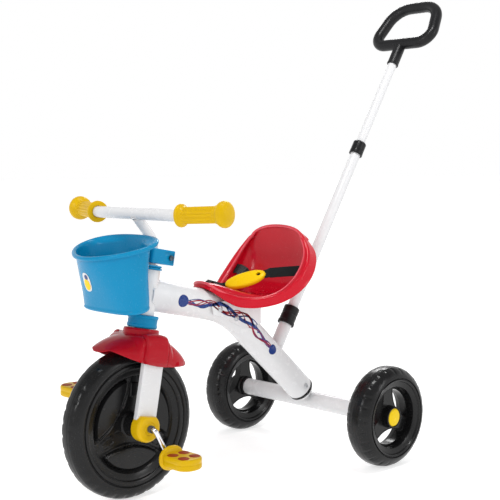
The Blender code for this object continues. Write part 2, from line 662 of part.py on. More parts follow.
for side, sgn in (("left", 1.0), ("right", -1.0)):
    w2 = LEG_WIDTH / 2
    y0, y1 = LEG_Y - 10.0, LEG_Y
    c_section = [(-w2, y0), (-w2 + 0.0, y1 - 1.2), (-w2 + 1.2, y1), (w2 - 1.2, y1), (w2, y1 - 1.2), (w2, y0),
                 (w2 - 2.4, y0), (w2 - 2.4, y1 - 2.6), (-w2 + 2.4, y1 - 2.6), (-w2 + 2.4, y0)]
    c_section = [(x, sgn * y) for x, y in c_section]
    leg_m = frame_matrix(on_axis(62.5), AXIS)
    leg = outline_solid(f"fork_leg_{side}", c_section, 73.2, leg_m)
    boolean(leg, rod(f"cut_leg_{side}", 8.0, 30.0, 60.0, frame_matrix(HUB, (0.0, sgn, 0.0)), 16, 0.0))
    finish(leg, WHITE, steer, smooth=0)

    m = frame_matrix(HUB, (0.0, sgn, 0.0))
    cover = turned(f"hub_cover_{side}", [
        (4.7, 60.0), (19.0, 60.0), (22.6, 58.4), (24.4, 55.0), (24.4, 38.6), (23.0, 37.2), (4.7, 37.2)], m, 20)
    boolean(cover, outline_solid(f"cut_cover_{side}", [(x * 1.02, sgn * y) for x, y in
                                                      [(-w2 - 0.1, 20.0), (-w2 - 0.1, LEG_Y + 0.3),
                                                       (w2 + 0.1, LEG_Y + 0.3), (w2 + 0.1, 20.0)]], 75.0, leg_m, CUTTERS))
    finish(cover, YELLOW, steer)
    spacer = ring(f"crank_spacer_{side}", 6.2, 4.7, 60.3, 67.5, m, 16)
    finish(spacer, GREY, steer)


# ---------------------------------------------------------------- fender
def fender_point(u, v):
    """Outer surface of the mudguard: u -1 (rear tip) to 1 (front tip), v across from -1 to 1."""
    q = -3.0 + (91.0 if u > 0 else 94.0) * u
    a = abs(u) * 0.992
    w = 52.4 * (1.0 - 0.05 * a * a) * math.sqrt(max(0.0, 1.0 - a**3.0))
    w = max(w, 4.0)
    top = math.sqrt(157.5**2 - q**2) - 12.0 * (q / 90.0) ** 2
    lo = 104.8 + (0.0020 if q > -16.0 else 0.0011) * (q + 16.0) ** 2
    lo = min(lo, top - 1.5)
    ang = abs(v) * math.pi / 2
    boxy = max(0.0, min(1.0, (40.0 - abs(q)) / 16.0))          # squarer where it covers the fork
    n = 2.0 / (2.5 + 3.0 * boxy)
    y = w * math.sin(ang) ** n
    s = lo + (top - lo) * max(0.0, math.cos(ang)) ** n
    return on_axis(s, q, math.copysign(y, v) if v else 0.0)


FU, FV = 14, 10
f_rows = [[fender_point(-1.0 + 2.0 * i / FU, -1.0 + 2.0 * j / FV) for j in range(FV + 1)] for i in range(FU + 1)]
fender = grid_shell("fender", f_rows, 2.4, offset=1.0)
fender = bake(fender)
collar = turned("fender_collar", [
    (13.1, 165.2), (29.0, 165.2), (31.4, 162.0), (31.4, 150.0), (13.1, 144.4)], AXIS_M, 20)
collar = bake(collar)
boolean(fender, collar, "UNION")
boolean(fender, rod("cut_fender_steerer", 13.15, 120.0, 180.0, AXIS_M, 20, 0.0))
finish(fender, RED, steer, smooth=50)

# ---------------------------------------------------------------- stem clamp, stem, handlebar, grips
clamp_c = on_axis(292.5, -13.0)
clamp = box("stem_clamp", (52.0, 37.0, 26.0), frame_matrix(clamp_c, AXIS), 4.0, 2)
boolean(clamp, rod("cut_clamp_bore", 9.6, 250.0, 330.0, AXIS_M, 16, 0.0))
finish(clamp, BLUE, steer, smooth=40)
cb_m = frame_matrix(on_axis(292.5, -29.0), (0.0, 1.0, 0.0))
boolean(clamp, rod("cut_clamp_bolt", 2.8, -30.0, 30.0, cb_m, 12, 0.0))
clamp_bolt = turned("clamp_bolt", [
    (0.0, 22.0), (2.2, 21.8), (4.4, 20.8), (4.9, 18.8), (2.5, 18.8), (2.5, -21.0), (0.0, -21.0)], cb_m, 12, closed=False)
finish(clamp_bolt, STEEL, steer)

BAR_C = Vector((-26.5, 0.0, 490.6))
bar_path = fillet_path([BAR_C + Vector((-22.5, -203.0, 4.4)), BAR_C + Vector((0.3, -110.0, 0.4)),
                        BAR_C + Vector((0.3, 110.0, 0.4)), BAR_C + Vector((-22.5, 203.0, 4.4))], [70.0, 70.0], 3)
bar = tube("handlebar", bar_path, BAR_R, 3)
bar_bore = tube("cut_bar_bore", [bar_path[0] + (bar_path[0] - bar_path[1]).normalized() * 5.0, *bar_path[1:-1],
                                 bar_path[-1] + (bar_path[-1] - bar_path[-2]).normalized() * 5.0],
                BAR_R - 1.5, 2, collection=CUTTERS)
boolean(bar, bar_bore)
finish(bar, WHITE, steer)

a0 = on_axis(205.0)
a1 = on_axis(318.0)
stem_path = fillet_path([a0, a1, Vector((-27.5, 0.0, 489.0))], [32.0], 6)
stem = tube("handlebar_stem", stem_path, 9.0, 4)
boolean(stem, rod("cut_stem_top", BAR_R + GAP, -40.0, 40.0,
                  frame_matrix(BAR_C + Vector((0.3, 0.0, 0.4)), (0.0, 1.0, 0.0)), 24, 0.0))
finish(stem, WHITE, steer)

for side, sgn in (("left", 1.0), ("right", -1.0)):
    inner_p = BAR_C + Vector((0.3, sgn * 110.0, 0.4))
    outer_p = BAR_C + Vector((-22.5, sgn * 203.0, 4.4))
    d = (outer_p - inner_p).normalized()
    m = frame_matrix(outer_p, d)
    grip = turned(f"grip_{side}", [
        (0.0, 8.0), (12.0, 7.0), (18.5, 4.0), (22.0, -2.0), (20.5, -9.5), (13.4, -15.5), (12.9, -82.0), (19.0, -86.5),
        (19.0, -91.8), (10.7, -91.8), (10.7, 0.6), (0.0, 0.6)], m, 20, closed=False)
    finish(grip, YELLOW, steer)

# ---------------------------------------------------------------- basket
B_RIM = dict(xc=30.3, zc=438.8, ax=60.2, ay=89.5, slope=-0.27, nf=1.80, nb=2.35, egg=-0.13)
B_LOW = dict(xc=17.0, zc=329.6, ax=31.5, ay=74.0, slope=-0.12, nf=2.8, nb=2.5, egg=0.10)


def basket_ring(k, grow=0.0, drop=0.0, n=24, top=B_RIM, low=B_LOW):
    """Outline of the basket at k from 0 (bottom) to 1 (rim)."""
    b = {key: low[key] + (top[key] - low[key]) * k for key in top}
    pts = []
    for i in range(n):
        ph = 2 * math.pi * (i + 0.5) / n
        c, s = math.cos(ph), math.sin(ph)
        nn = b["nf"] if c > 0 else b["nb"]
        x = (b["ax"] + grow) * math.copysign(abs(c) ** (2 / nn), c)
        y = (b["ay"] + grow) * math.copysign(abs(s) ** (2 / nn), s)
        y *= 1 + b["egg"] * x / b["ax"]
        pts.append(Vector((b["xc"] + x, y, b["zc"] + b["slope"] * x - drop)))
    return pts


b_rows = []
for k, g in ((0.0, -8.0), (0.03, -0.6), (0.3, -3.8), (0.65, -5.3), (0.95, -6.2)):
    b_rows.append(basket_ring(k, g, 0.0))
b_rows.append(basket_ring(1.0, -4.0, 0.4))
b_rows.append(basket_ring(1.0, -1.5, 0.2))
b_rows.append(basket_ring(1.0, 0.0, 2.4))
b_rows.append(basket_ring(1.0, 0.2, 7.0))
me = bpy.data.meshes.new("basket")
bm = bmesh.new()
vv = [[bm.verts.new(world(p)) for p in row] for row in b_rows]
for a, b in zip(vv, vv[1:]):
    for j in range(len(a)):
        k = (j + 1) % len(a)
        bm.faces.new((a[j], a[k], b[k], b[j]))
bmesh.ops.contextual_create(bm, geom=[e for e in bm.edges if e.is_boundary and e.verts[0] in vv[0]])
bmesh.ops.recalc_face_normals(bm, faces=bm.faces)
bm.to_mesh(me)
bm.free()
basket = place("basket", me, Matrix())
sol = basket.modifiers.new("wall", "SOLIDIFY")
sol.thickness = 2.2 * MM
sol.offset = 1.0
finish(basket, BLUE, steer, smooth=50)

# ---------------------------------------------------------------- push handle
lower_pole = ring("pole_lower_tube", 10.6, 9.6, 40.0, 480.0, POLE_M, 16)
finish(lower_pole, WHITE)
pole_collar = turned("pole_collar", [
    (9.6, 497.0), (12.4, 497.0), (13.8, 495.4), (14.2, 468.0), (11.0, 468.0), (11.0, 480.3), (9.6, 480.3)],
    POLE_M, 16)
finish(pole_collar, BLACK)
upper = empty("upper_pole_slide", frame_matrix(on_pole(497.0), POLE))
upper_pole = ring("pole_upper_tube", 9.2, 8.0, 300.0, 738.0, POLE_M, 16)
finish(upper_pole, WHITE, upper)

H_ANGLE = math.radians(36.5)


def handle_loop(n=6):
    """Middle line of the handle loop: rounded trapezoid in a plane that leans back."""
    wb, wt, H, rb, rt = 79.5, 56.7, 103.3, 29.0, 47.0
    base = Vector((-754.0, 0.0, 830.5))
    up = Vector((-math.sin(H_ANGLE), 0.0, math.cos(H_ANGLE)))
    corners = [(-wb, 0.0, rb), (wb, 0.0, rb), (wt, H, rt), (-wt, H, rt)]
    out = []
    for i in range(4):
        ax, ay, _ = corners[i - 1]
        bx, by, r = corners[i]
        cx, cy, _ = corners[(i + 1) % 4]
        a, b, c = (Vector((p[0], p[1], 0.0)) for p in ((ax, ay), (bx, by), (cx, cy)))
        for p in fillet_path([a, b, c], [r], n)[1:-1]:
            out.append(base + Vector((0.0, p.x, 0.0)) + up * p.y)
    return out


handle = tube("push_handle", handle_loop(4), 12.1, 3, cyclic=True)
grip_stem = rod("handle_stem", 12.0, 696.0, 752.0, POLE_M, 20, 1.5)
grip_stem = bake(grip_stem)
boolean(handle, grip_stem, "UNION")
boolean(handle, rod("cut_handle_bore", 9.5, 690.0, 738.4, POLE_M, 20, 0.0))
finish(handle, BLACK, upper, smooth=50)

# snap buttons: one in the pole collar, one in the socket collar
for name, s, r_in, r_out in (("pole_button", 488.0, 10.9, 16.2), ("socket_button", 92.0, 13.4, 18.0)):
    side = Vector((-math.cos(POLE_ANGLE), 0.0, -math.sin(POLE_ANGLE)))
    m = frame_matrix(on_pole(s), side)
    b = rod(name, 4.0, r_in, r_out, m, 14, 0.8)
    finish(b, BLACK)
    targets = (pole_collar,) if name == "pole_button" else (socket_collar, socket)
    hole = rod(f"cut_{name}", 4.4, 5.0, 30.0, m, 14, 0.0)
    for target in targets:
        boolean(target, hole)


# ---------------------------------------------------------------- belt, seat screws, basket clip
STRAP_W, STRAP_T = 19.0, 1.6


def strap(name, centre, across, width=STRAP_W):
    """Flat strap: ribbon through points in mm, its width across the given directions."""
    rows_ = [[p - a.normalized() * width / 2, p, p + a.normalized() * width / 2] for p, a in zip(centre, across)]
    return finish(bake(grid_shell(name, rows_, STRAP_T, offset=0.0)), WEB, smooth=60)


def slot(target, name, centre, normal, across):
    """Opening for a strap through a wall of the seat."""
    z = normal.normalized()
    cut = box(name, (STRAP_W + 2.4, 4.2, 26.0), frame_matrix(centre, z, across), 0.0)
    return bake(boolean(target, cut), tris=True)


BUCKLE_A = Vector((-229.5, -14.0, 351.5))      # far end
BUCKLE_B = Vector((-297.0, 34.0, 366.0))       # near end
BUCKLE_C = (BUCKLE_A + BUCKLE_B) / 2
B_LEN = (BUCKLE_B - BUCKLE_A).length
B_X = (BUCKLE_B - BUCKLE_A).normalized()
B_Z = (Vector((0.35, 0.35, 0.87)) - B_X * B_X.dot(Vector((0.35, 0.35, 0.87)))).normalized()
B_Y = B_Z.cross(B_X)
buckle_m = frame_matrix(BUCKLE_C, B_Z, B_X)
me = bpy.data.meshes.new("belt_buckle")
bm = bmesh.new()
bmesh.ops.create_cone(bm, cap_ends=True, segments=20, radius1=1.0 * MM, radius2=1.0 * MM, depth=10.5 * MM)
for v in bm.verts:
    a = math.atan2(v.co.y, v.co.x)
    v.co.x = B_LEN / 2 * math.copysign(abs(math.cos(a)) ** 0.85, math.cos(a)) * MM
    v.co.y = 15.5 * math.copysign(abs(math.sin(a)) ** 0.85, math.sin(a)) * MM
bm.to_mesh(me)
bm.free()
buckle = place("belt_buckle", me, buckle_m)
bv = buckle.modifiers.new("edges", "BEVEL")
bv.width = 3.2 * MM
bv.segments = 2
bv.limit_method = "ANGLE"
bv.angle_limit = math.radians(40)
finish(buckle, YELLOW, smooth=45)
boolean(buckle, rod("cut_buckle_hole", 4.2, -20.0, 20.0, frame_matrix(BUCKLE_C + B_X * (B_LEN / 2 - 13.0), B_Z), 16, 0.0))

# the three straps leave pockets in the buckle and pass through openings in the seat
ends = {}
for key, p, d in (("left", BUCKLE_B - B_X * 3.5, B_X), ("right", BUCKLE_C + B_X * -8.0 + B_Y * 11.5, B_Y),
                  ("crotch", BUCKLE_A + B_X * 5.0, -B_X)):
    q = p + B_Z * (1.5 if key == "crotch" else -1.2)
    ends[key] = (q, d)
    across = d.cross(B_Z)
    boolean(buckle, box(f"cut_buckle_{key}", (STRAP_W + 1.2, 24.0, STRAP_T + 1.0),
                        frame_matrix(q + d * 11.6, B_Z, across), 0.0))


def wall_frame(t, v):
    e = 0.012
    p = seat_point(t, v)
    dt = (seat_point(t + e, v) - seat_point(t - e, v)).normalized()
    dv = (seat_point(t, min(1.0, v + e)) - seat_point(t, v - e)).normalized()
    n = dt.cross(dv).normalized()
    if n.dot(Vector((-250.0, 0.0, 420.0)) - p) < 0:
        n = -n
    return p, n, dt, dv


def t_at(x):
    """Where along the seat its middle line reaches x."""
    return min((k / 500 for k in range(40, 340)), key=lambda k: abs(seat_point(k, 0.0).x - x))


for side, sgn, t_slot in (("left", 1.0, 0.67), ("right", -1.0, 0.67)):
    p, n, dt, dv = wall_frame(t_slot, 0.90 * sgn)
    seat = slot(seat, f"cut_slot_{side}", p, n, dt)
    q, d = ends[side]
    e0 = p - n * 8.0
    across_b = d.cross(B_Z)
    if across_b.dot(dt) < 0:
        across_b = -across_b
    pts = fillet_path([e0, p + n * 9.0, q + d * 10.0, q + d * 0.3], [4.0, 6.0], 3)
    across = [dt.lerp(across_b, max(0.0, min(1.0, (i - 3.5) / 4.0))) for i in range(len(pts))]
    strap(f"belt_strap_{side}", pts, across)

p, n, dt, dv = wall_frame(t_at(-190.0), 0.0)
seat = slot(seat, "cut_slot_crotch", p, n, Vector((0.0, 1.0, 0.0)))
q, d = ends["crotch"]
run = [wall_frame(t_at(x), v) for x, v in ((-200.0, -0.08), (-212.0, -0.24))]
end_across = d.cross(B_Z) * (1.0 if d.cross(B_Z).y > 0 else -1.0)
pts = [p - n * 9.0, p + n * 1.0] + [r[0] + r[1] * h for r, h in zip(run, (2.6, 5.5))] + [q + d * 9.0, q + d * 0.3]
across = [Vector((0.0, 1.0, 0.0)).lerp(end_across, w) for w in (0.0, 0.0, 0.1, 0.5, 1.0, 1.0)]
strap("crotch_strap", pts, across, 15.0)

for i, x in enumerate((-299.0, -327.0)):
    tag = ("front", "rear")[i]
    z0 = seat_point(t_at(x), 0.0).z
    m = frame_matrix(Vector((x, 0.0, z0)), (0.0, 0.0, 1.0))
    seat = bake(boolean(seat, rod(f"cut_seat_screw_{tag}", 2.9, -12.0, 12.0, m, 12, 0.0)), tris=True)
    boolean(bracket, rod(f"cut_plate_screw_{tag}", 2.9, -12.0, 12.0, m, 12, 0.0))
    sc = turned(f"seat_screw_{tag}", [
        (0.0, 3.6), (2.8, 3.4), (4.6, 2.6), (5.2, 1.6), (2.4, 1.6), (2.4, -14.5), (0.0, -14.5)], m, 12, closed=False)
    finish(sc, STEEL)

finish(seat, RED, smooth=60)

clip = box("basket_clip", (20.4, 26.0, 15.0), frame_matrix(on_axis(292.5, 23.6), AXIS), 2.0, 1)
finish(clip, BLUE, steer, smooth=40)

print("part built")
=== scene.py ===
"""Looks of the toddler tricycle over its fixed frame: painted tubes, moulded plastic parts, webbing, chrome."""
import math

import bmesh
import bpy
from mathutils import Matrix, Vector

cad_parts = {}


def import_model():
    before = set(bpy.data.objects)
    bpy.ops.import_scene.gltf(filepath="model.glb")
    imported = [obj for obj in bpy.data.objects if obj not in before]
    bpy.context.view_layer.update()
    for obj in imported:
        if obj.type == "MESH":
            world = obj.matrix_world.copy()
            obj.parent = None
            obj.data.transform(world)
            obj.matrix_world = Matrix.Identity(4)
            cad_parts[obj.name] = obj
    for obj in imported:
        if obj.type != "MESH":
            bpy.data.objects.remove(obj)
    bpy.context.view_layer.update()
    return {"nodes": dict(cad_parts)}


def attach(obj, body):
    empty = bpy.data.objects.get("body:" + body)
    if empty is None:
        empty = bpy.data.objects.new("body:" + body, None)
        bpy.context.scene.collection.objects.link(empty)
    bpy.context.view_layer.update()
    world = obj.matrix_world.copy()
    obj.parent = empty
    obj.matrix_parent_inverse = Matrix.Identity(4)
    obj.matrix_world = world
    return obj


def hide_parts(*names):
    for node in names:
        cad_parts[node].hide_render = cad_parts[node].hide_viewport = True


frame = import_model()

# ---------------------------------------------------------------- dimensions, millimetres, from under the front axle
SHIFT_X = 348.8
MM = 0.001
RAKE = math.radians(11.3)
AXIS = Vector((-math.sin(RAKE), 0.0, math.cos(RAKE)))
FWD = Vector((math.cos(RAKE), 0.0, math.sin(RAKE)))
HUB = Vector((0.0, 0.0, 130.0))
REAR_AXLE = Vector((-460.0, 0.0, 95.0))
POLE_ANGLE = math.radians(32.5)
POLE = Vector((-math.sin(POLE_ANGLE), 0.0, math.cos(POLE_ANGLE)))
POLE_0 = Vector((-351.7, 0.0, 196.6))
MAIN_DIR = Vector((-0.737, 0.0, -0.676)).normalized()
MAIN_END = Vector((-430.0, 0.0, 124.7))
UP = Vector((0.0, 0.0, 1.0))
LEFT = Vector((0.0, 1.0, 0.0))


def world(p):
    return Vector(((p[0] + SHIFT_X) * MM, p[1] * MM, p[2] * MM))


def on_axis(s, q=0.0, y=0.0):
    v = HUB + AXIS * s + FWD * q
    return Vector((v.x, y, v.z))


def on_pole(s):
    return POLE_0 + POLE * s


def frame_matrix(origin, z_dir, x_hint=(1.0, 0.0, 0.0)):
    z = Vector(z_dir).normalized()
    x = Vector(x_hint)
    x = (x - z * x.dot(z)).normalized()
    y = z.cross(x)
    m = Matrix((x, y, z)).transposed().to_4x4()
    m.translation = world(origin)
    return m


def smoothstep(a, b, x):
    w = max(0.0, min(1.0, (x - a) / (b - a)))
    return w * w * (3.0 - 2.0 * w)


def lerp_table(table, t):
    """Smooth value at t of a table of rows (t, a, b, ...)."""
    if t <= table[0][0]:
        return list(table[0][1:])
    if t >= table[-1][0]:
        return list(table[-1][1:])
    i = max(k for k in range(len(table) - 1) if table[k][0] <= t)
    t0, t1 = table[i][0], table[i + 1][0]
    w = (t - t0) / (t1 - t0)
    out = []
    for c in range(1, len(table[0])):
        p1, p2 = table[i][c], table[i + 1][c]
        m1 = (p2 - table[i - 1][c]) / (t1 - table[i - 1][0]) if i > 0 else (p2 - p1) / (t1 - t0)
        m2 = (table[i + 2][c] - p1) / (table[i + 2][0] - t0) if i + 2 < len(table) else (p2 - p1) / (t1 - t0)
        h = t1 - t0
        out.append((2 * w**3 - 3 * w**2 + 1) * p1 + (w**3 - 2 * w**2 + w) * h * m1
                   + (-2 * w**3 + 3 * w**2) * p2 + (w**3 - w**2) * h * m2)
    return out


# ---------------------------------------------------------------- camera
camera_data = bpy.data.cameras.new("photo_camera")
camera_data.sensor_width = 36.0
camera_data.lens = 1037.505 / 500.0 * 36.0
camera_data.clip_start = 0.05
camera_data.clip_end = 100.0
camera = bpy.data.objects.new("photo_camera", camera_data)
bpy.context.scene.collection.objects.link(camera)
camera.matrix_world = Matrix((
    (-0.72037389, -0.06444777, 0.69058522, 1.4172786),
    (0.69354065, -0.0555536, 0.71827235, 1.4182482),
    (-0.00792656, 0.99637357, 0.08471651, 0.578221),
    (0.0, 0.0, 0.0, 1.0)))
bpy.context.scene.camera = camera


# ---------------------------------------------------------------- materials
def nodes_of(name):
    m = bpy.data.materials.new(name)
    m.use_nodes = True
    nt = m.node_tree
    return m, nt, nt.nodes["Principled BSDF"]


def link(nt, a, b):
    nt.links.new(a, b)


def noise(nt, vector, scale, detail=3.0, rough=0.55, distortion=0.0):
    n = nt.nodes.new("ShaderNodeTexNoise")
    n.inputs["Scale"].default_value = scale
    n.inputs["Detail"].default_value = detail
    n.inputs["Roughness"].default_value = rough
    n.inputs["Distortion"].default_value = distortion
    link(nt, vector, n.inputs["Vector"])
    return n.outputs["Fac"]


def ramp(nt, fac, stops):
    """Colour ramp; stops are (position, grey or (r, g, b))."""
    r = nt.nodes.new("ShaderNodeValToRGB")
    el = r.color_ramp.elements
    while len(el) < len(stops):
        el.new(0.5)
    for e, (pos, c) in zip(el, stops):
        e.position = pos
        e.color = (c, c, c, 1.0) if isinstance(c, (int, float)) else (*c, 1.0)
    link(nt, fac, r.inputs["Fac"])
    return r.outputs["Color"]


def math_node(nt, op, a, b):
    n = nt.nodes.new("ShaderNodeMath")
    n.operation = op
    for sock, v in zip(n.inputs, (a, b)):
        if isinstance(v, (int, float)):
            sock.default_value = v
        else:
            link(nt, v, sock)
    return n.outputs[0]


def mix_rgb(nt, fac, a, b, blend="MIX"):
    n = nt.nodes.new("ShaderNodeMix")
    n.data_type = "RGBA"
    n.blend_type = blend
    for key, v in (("Factor", fac), ("A", a), ("B", b)):
        socks = [s for s in n.inputs if s.name == key and s.enabled]
        sock = [s for s in socks if s.type in ("VALUE", "RGBA")][0]
        if key != "Factor":
            sock = [s for s in n.inputs if s.name == key and s.type == "RGBA"][0]
        if isinstance(v, (int, float)):
            sock.default_value = v if key == "Factor" else (v, v, v, 1.0)
        elif isinstance(v, tuple):
            sock.default_value = (*v, 1.0)
        else:
            link(nt, v, sock)
    return [s for s in n.outputs if s.type == "RGBA"][0]


def stretched(nt, vector, scale, rotation=(0.0, 0.0, 0.0)):
    m = nt.nodes.new("ShaderNodeMapping")
    m.inputs["Scale"].default_value = scale
    m.inputs["Rotation"].default_value = rotation
    link(nt, vector, m.inputs["Vector"])
    return m.outputs["Vector"]


def moulded(name, rgb, rough, grain=900.0, grain_depth=0.05, spread=0.10, coat=0.0, wear=0.12, metallic=0.0,
            marks=0.25, gloss=0.5):
    """Moulded plastic or paint: soft colour clouds, satin grain, hairline scratches and rubbed patches."""
    m, nt, b = nodes_of(name)
    tc = nt.nodes.new("ShaderNodeTexCoord").outputs["Object"]
    cloud = noise(nt, tc, 9.0, 4.0, 0.6, 0.4)
    fine = noise(nt, tc, 160.0, 3.0, 0.6)
    dark = tuple(c * (1.0 - spread) for c in rgb)
    light = tuple(min(1.0, c * (1.0 + 0.6 * spread) + 0.004) for c in rgb)
    base = ramp(nt, cloud, [(0.3, dark), (0.72, light)])
    base = mix_rgb(nt, math_node(nt, "MULTIPLY", fine, 0.10), base, tuple(c * 0.8 for c in rgb))
    # hairline scratches in two directions
    s1 = ramp(nt, noise(nt, stretched(nt, tc, (18.0, 420.0, 60.0), (0.3, 0.5, 0.2)), 3.0, 2.0, 0.5, 0.6),
              [(0.655, 0.0), (0.70, 1.0)])
    s2 = ramp(nt, noise(nt, stretched(nt, tc, (300.0, 22.0, 260.0), (0.1, -0.4, 0.8)), 3.0, 2.0, 0.5, 0.4),
              [(0.67, 0.0), (0.72, 1.0)])
    scratch = math_node(nt, "MAXIMUM", s1, s2)
    worn = ramp(nt, noise(nt, tc, 26.0, 5.0, 0.7, 0.8), [(0.56, 0.0), (0.74, 1.0)])
    pale = tuple(c + (0.75 - c) * 0.28 for c in rgb) if metallic < 0.5 else tuple(c * 0.8 for c in rgb)
    base = mix_rgb(nt, math_node(nt, "MULTIPLY", scratch, wear), base, pale)
    base = mix_rgb(nt, math_node(nt, "MULTIPLY", worn, wear * 0.5), base, tuple(c * 0.86 + 0.012 for c in rgb))
    link(nt, base, b.inputs["Base Color"])
    r = math_node(nt, "ADD", math_node(nt, "MULTIPLY", noise(nt, tc, 55.0, 4.0, 0.65), 0.16), rough - 0.08)
    r = math_node(nt, "ADD", r, math_node(nt, "MULTIPLY", scratch, marks))
    r = math_node(nt, "ADD", r, math_node(nt, "MULTIPLY", worn, marks * 0.35))
    r = math_node(nt, "MINIMUM", math_node(nt, "MAXIMUM", r, 0.03), 0.95)
    link(nt, r, b.inputs["Roughness"])
    bump = nt.nodes.new("ShaderNodeBump")
    bump.inputs["Strength"].default_value = grain_depth
    bump.inputs["Distance"].default_value = 0.0006
    g = math_node(nt, "ADD", noise(nt, tc, grain, 2.0, 0.5), math_node(nt, "MULTIPLY", noise(nt, tc, 34.0, 2.0), 0.3))
    g = math_node(nt, "SUBTRACT", g, math_node(nt, "MULTIPLY", scratch, 0.35))
    link(nt, g, bump.inputs["Height"])
    link(nt, bump.outputs["Normal"], b.inputs["Normal"])
    b.inputs["Metallic"].default_value = metallic
    b.inputs["Specular IOR Level"].default_value = gloss
    if coat:
        b.inputs["Coat Weight"].default_value = coat
        b.inputs["Coat Roughness"].default_value = 0.08
    m.diffuse_color = (*rgb, 1.0)
    return m


WHITE = moulded("white_paint", (0.71, 0.71, 0.72), 0.26, 500.0, 0.012, 0.012, 0.0, 0.02, marks=0.12, gloss=0.40)
RED = moulded("red_plastic", (0.55, 0.0014, 0.015), 0.17, 700.0, 0.020, 0.06, 0.0, 0.05, marks=0.12, gloss=0.26)
# lighter pink than the seat's red, for the bead along the rim: a painted highlight
RED_HIGHLIGHT_PAINT = moulded("red_painted_highlight", (0.74, 0.055, 0.085), 0.22, 700.0, 0.012, 0.05, 0.0, 0.04, marks=0.12, gloss=0.75)
# darker copy of the seat's red plastic for the fender and its collar: painted shade
FENDER_RED_SHADE_PAINT = moulded("fender_red_painted_shade", (0.40, 0.0008, 0.010), 0.12, 700.0, 0.012, 0.05, 0.0, 0.04, marks=0.12, gloss=0.18)
BLUE = moulded("blue_plastic", (0.0006, 0.235, 0.46), 0.24, 700.0, 0.020, 0.05, 0.0, 0.05, marks=0.12, gloss=0.16)
YELLOW = moulded("yellow_plastic", (0.67, 0.415, 0.0006), 0.30, 600.0, 0.030, 0.06, 0.0, 0.05, marks=0.12, gloss=0.14)
CAP_YELLOW = moulded("cap_yellow", (0.80, 0.55, 0.001), 0.26, 600.0, 0.02, 0.04, 0.0, 0.05, marks=0.12, gloss=0.14)
YELLOW_B = moulded("buckle_yellow", (0.94, 0.60, 0.001), 0.28, 600.0, 0.02, 0.04, 0.0, 0.05, marks=0.12, gloss=0.14)
ORANGE = moulded("orange_inlay", (0.31, 0.034, 0.001), 0.5, 500.0, 0.10, 0.14, 0.0, 0.08, gloss=0.1)
BLACK = moulded("black_plastic", (0.008, 0.008, 0.009), 0.34, 420.0, 0.06, 0.2, 0.0, 0.04, gloss=0.22)
TYRE = moulded("wheel_plastic", (0.0058, 0.0058, 0.0062), 0.22, 320.0, 0.07, 0.25, 0.0, 0.04, marks=0.15, gloss=0.24)
CHROME = moulded("chrome", (0.80, 0.80, 0.82), 0.12, 260.0, 0.03, 0.06, 0.0, 0.12, 1.0, marks=0.2)
STEEL = moulded("zinc_steel", (0.52, 0.53, 0.55), 0.36, 240.0, 0.12, 0.16, 0.0, 0.3, 1.0, marks=0.2)
DARK_STEEL = moulded("dark_steel", (0.10, 0.13, 0.16), 0.42, 240.0, 0.12, 0.2, 0.0, 0.3, 1.0, marks=0.2)
GREY = moulded("grey_plastic", (0.07, 0.07, 0.072), 0.45, 420.0, 0.10, 0.15, 0.0, 0.06, gloss=0.3)
INK_BLUE = moulded("print_blue", (0.010, 0.035, 0.19), 0.28, 400.0, 0.02, 0.10, 0.0, 0.06, gloss=0.3)
INK_RED = moulded("print_red", (0.30, 0.004, 0.014), 0.28, 400.0, 0.02, 0.10, 0.0, 0.06, gloss=0.3)
SHADOW = moulded("slot_shadow", (0.030, 0.001, 0.003), 0.6, 400.0, 0.05, 0.2, gloss=0.1)


def webbing():
    """Woven belt webbing; UV is metres along and across the strap."""
    m, nt, b = nodes_of("webbing")
    uv = nt.nodes.new("ShaderNodeTexCoord").outputs["UV"]
    sep = nt.nodes.new("ShaderNodeSeparateXYZ")
    link(nt, uv, sep.inputs[0])
    u, v = sep.outputs[0], sep.outputs[1]
    # herringbone of ribs, 1.1 mm apart, that turns at each column of 2.4 mm
    col = math_node(nt, "PINGPONG", v, 0.0024)
    rib = math_node(nt, "SINE", math_node(nt, "MULTIPLY", math_node(nt, "ADD", u, math_node(nt, "MULTIPLY", col, 0.8)),
                                          2 * math.pi / 0.0011), 0.0)
    warp = math_node(nt, "SINE", math_node(nt, "MULTIPLY", v, 2 * math.pi / 0.0012), 0.0)
    weave = math_node(nt, "ADD", math_node(nt, "MULTIPLY", rib, 0.35), math_node(nt, "MULTIPLY", warp, 0.15))
    weave = math_node(nt, "ADD", weave, 0.5)
    tc = nt.nodes.new("ShaderNodeTexCoord").outputs["Object"]
    fuzz = noise(nt, tc, 1400.0, 3.0, 0.7)
    cloud = noise(nt, tc, 30.0, 3.0)
    c = ramp(nt, weave, [(0.1, (0.002, 0.0024, 0.0026)), (0.9, (0.012, 0.015, 0.016))])
    c = mix_rgb(nt, math_node(nt, "MULTIPLY", fuzz, 0.35), c, (0.018, 0.023, 0.024))
    c = mix_rgb(nt, math_node(nt, "MULTIPLY", cloud, 0.4), c, (0.004, 0.007, 0.008))
    link(nt, c, b.inputs["Base Color"])
    link(nt, math_node(nt, "ADD", math_node(nt, "MULTIPLY", fuzz, 0.2), 0.66), b.inputs["Roughness"])
    bump = nt.nodes.new("ShaderNodeBump")
    bump.inputs["Strength"].default_value = 0.7
    bump.inputs["Distance"].default_value = 0.0004
    link(nt, math_node(nt, "ADD", weave, math_node(nt, "MULTIPLY", fuzz, 0.3)), bump.inputs["Height"])
    link(nt, bump.outputs["Normal"], b.inputs["Normal"])
    b.inputs["Specular IOR Level"].default_value = 0.15
    b.inputs["Sheen Weight"].default_value = 0.06
    b.inputs["Sheen Roughness"].default_value = 0.5
    m.diffuse_color = (0.02, 0.02, 0.022, 1.0)
    return m


WEB = webbing()

SLOT_NAMES = {"white_paint": WHITE, "red_plastic": RED, "blue_plastic": BLUE, "yellow_plastic": YELLOW,
              "black_plastic": BLACK, "wheel_plastic": TYRE, "chrome": CHROME, "zinc_steel": STEEL, "webbing": WEB,
              "grey_plastic": GREY}


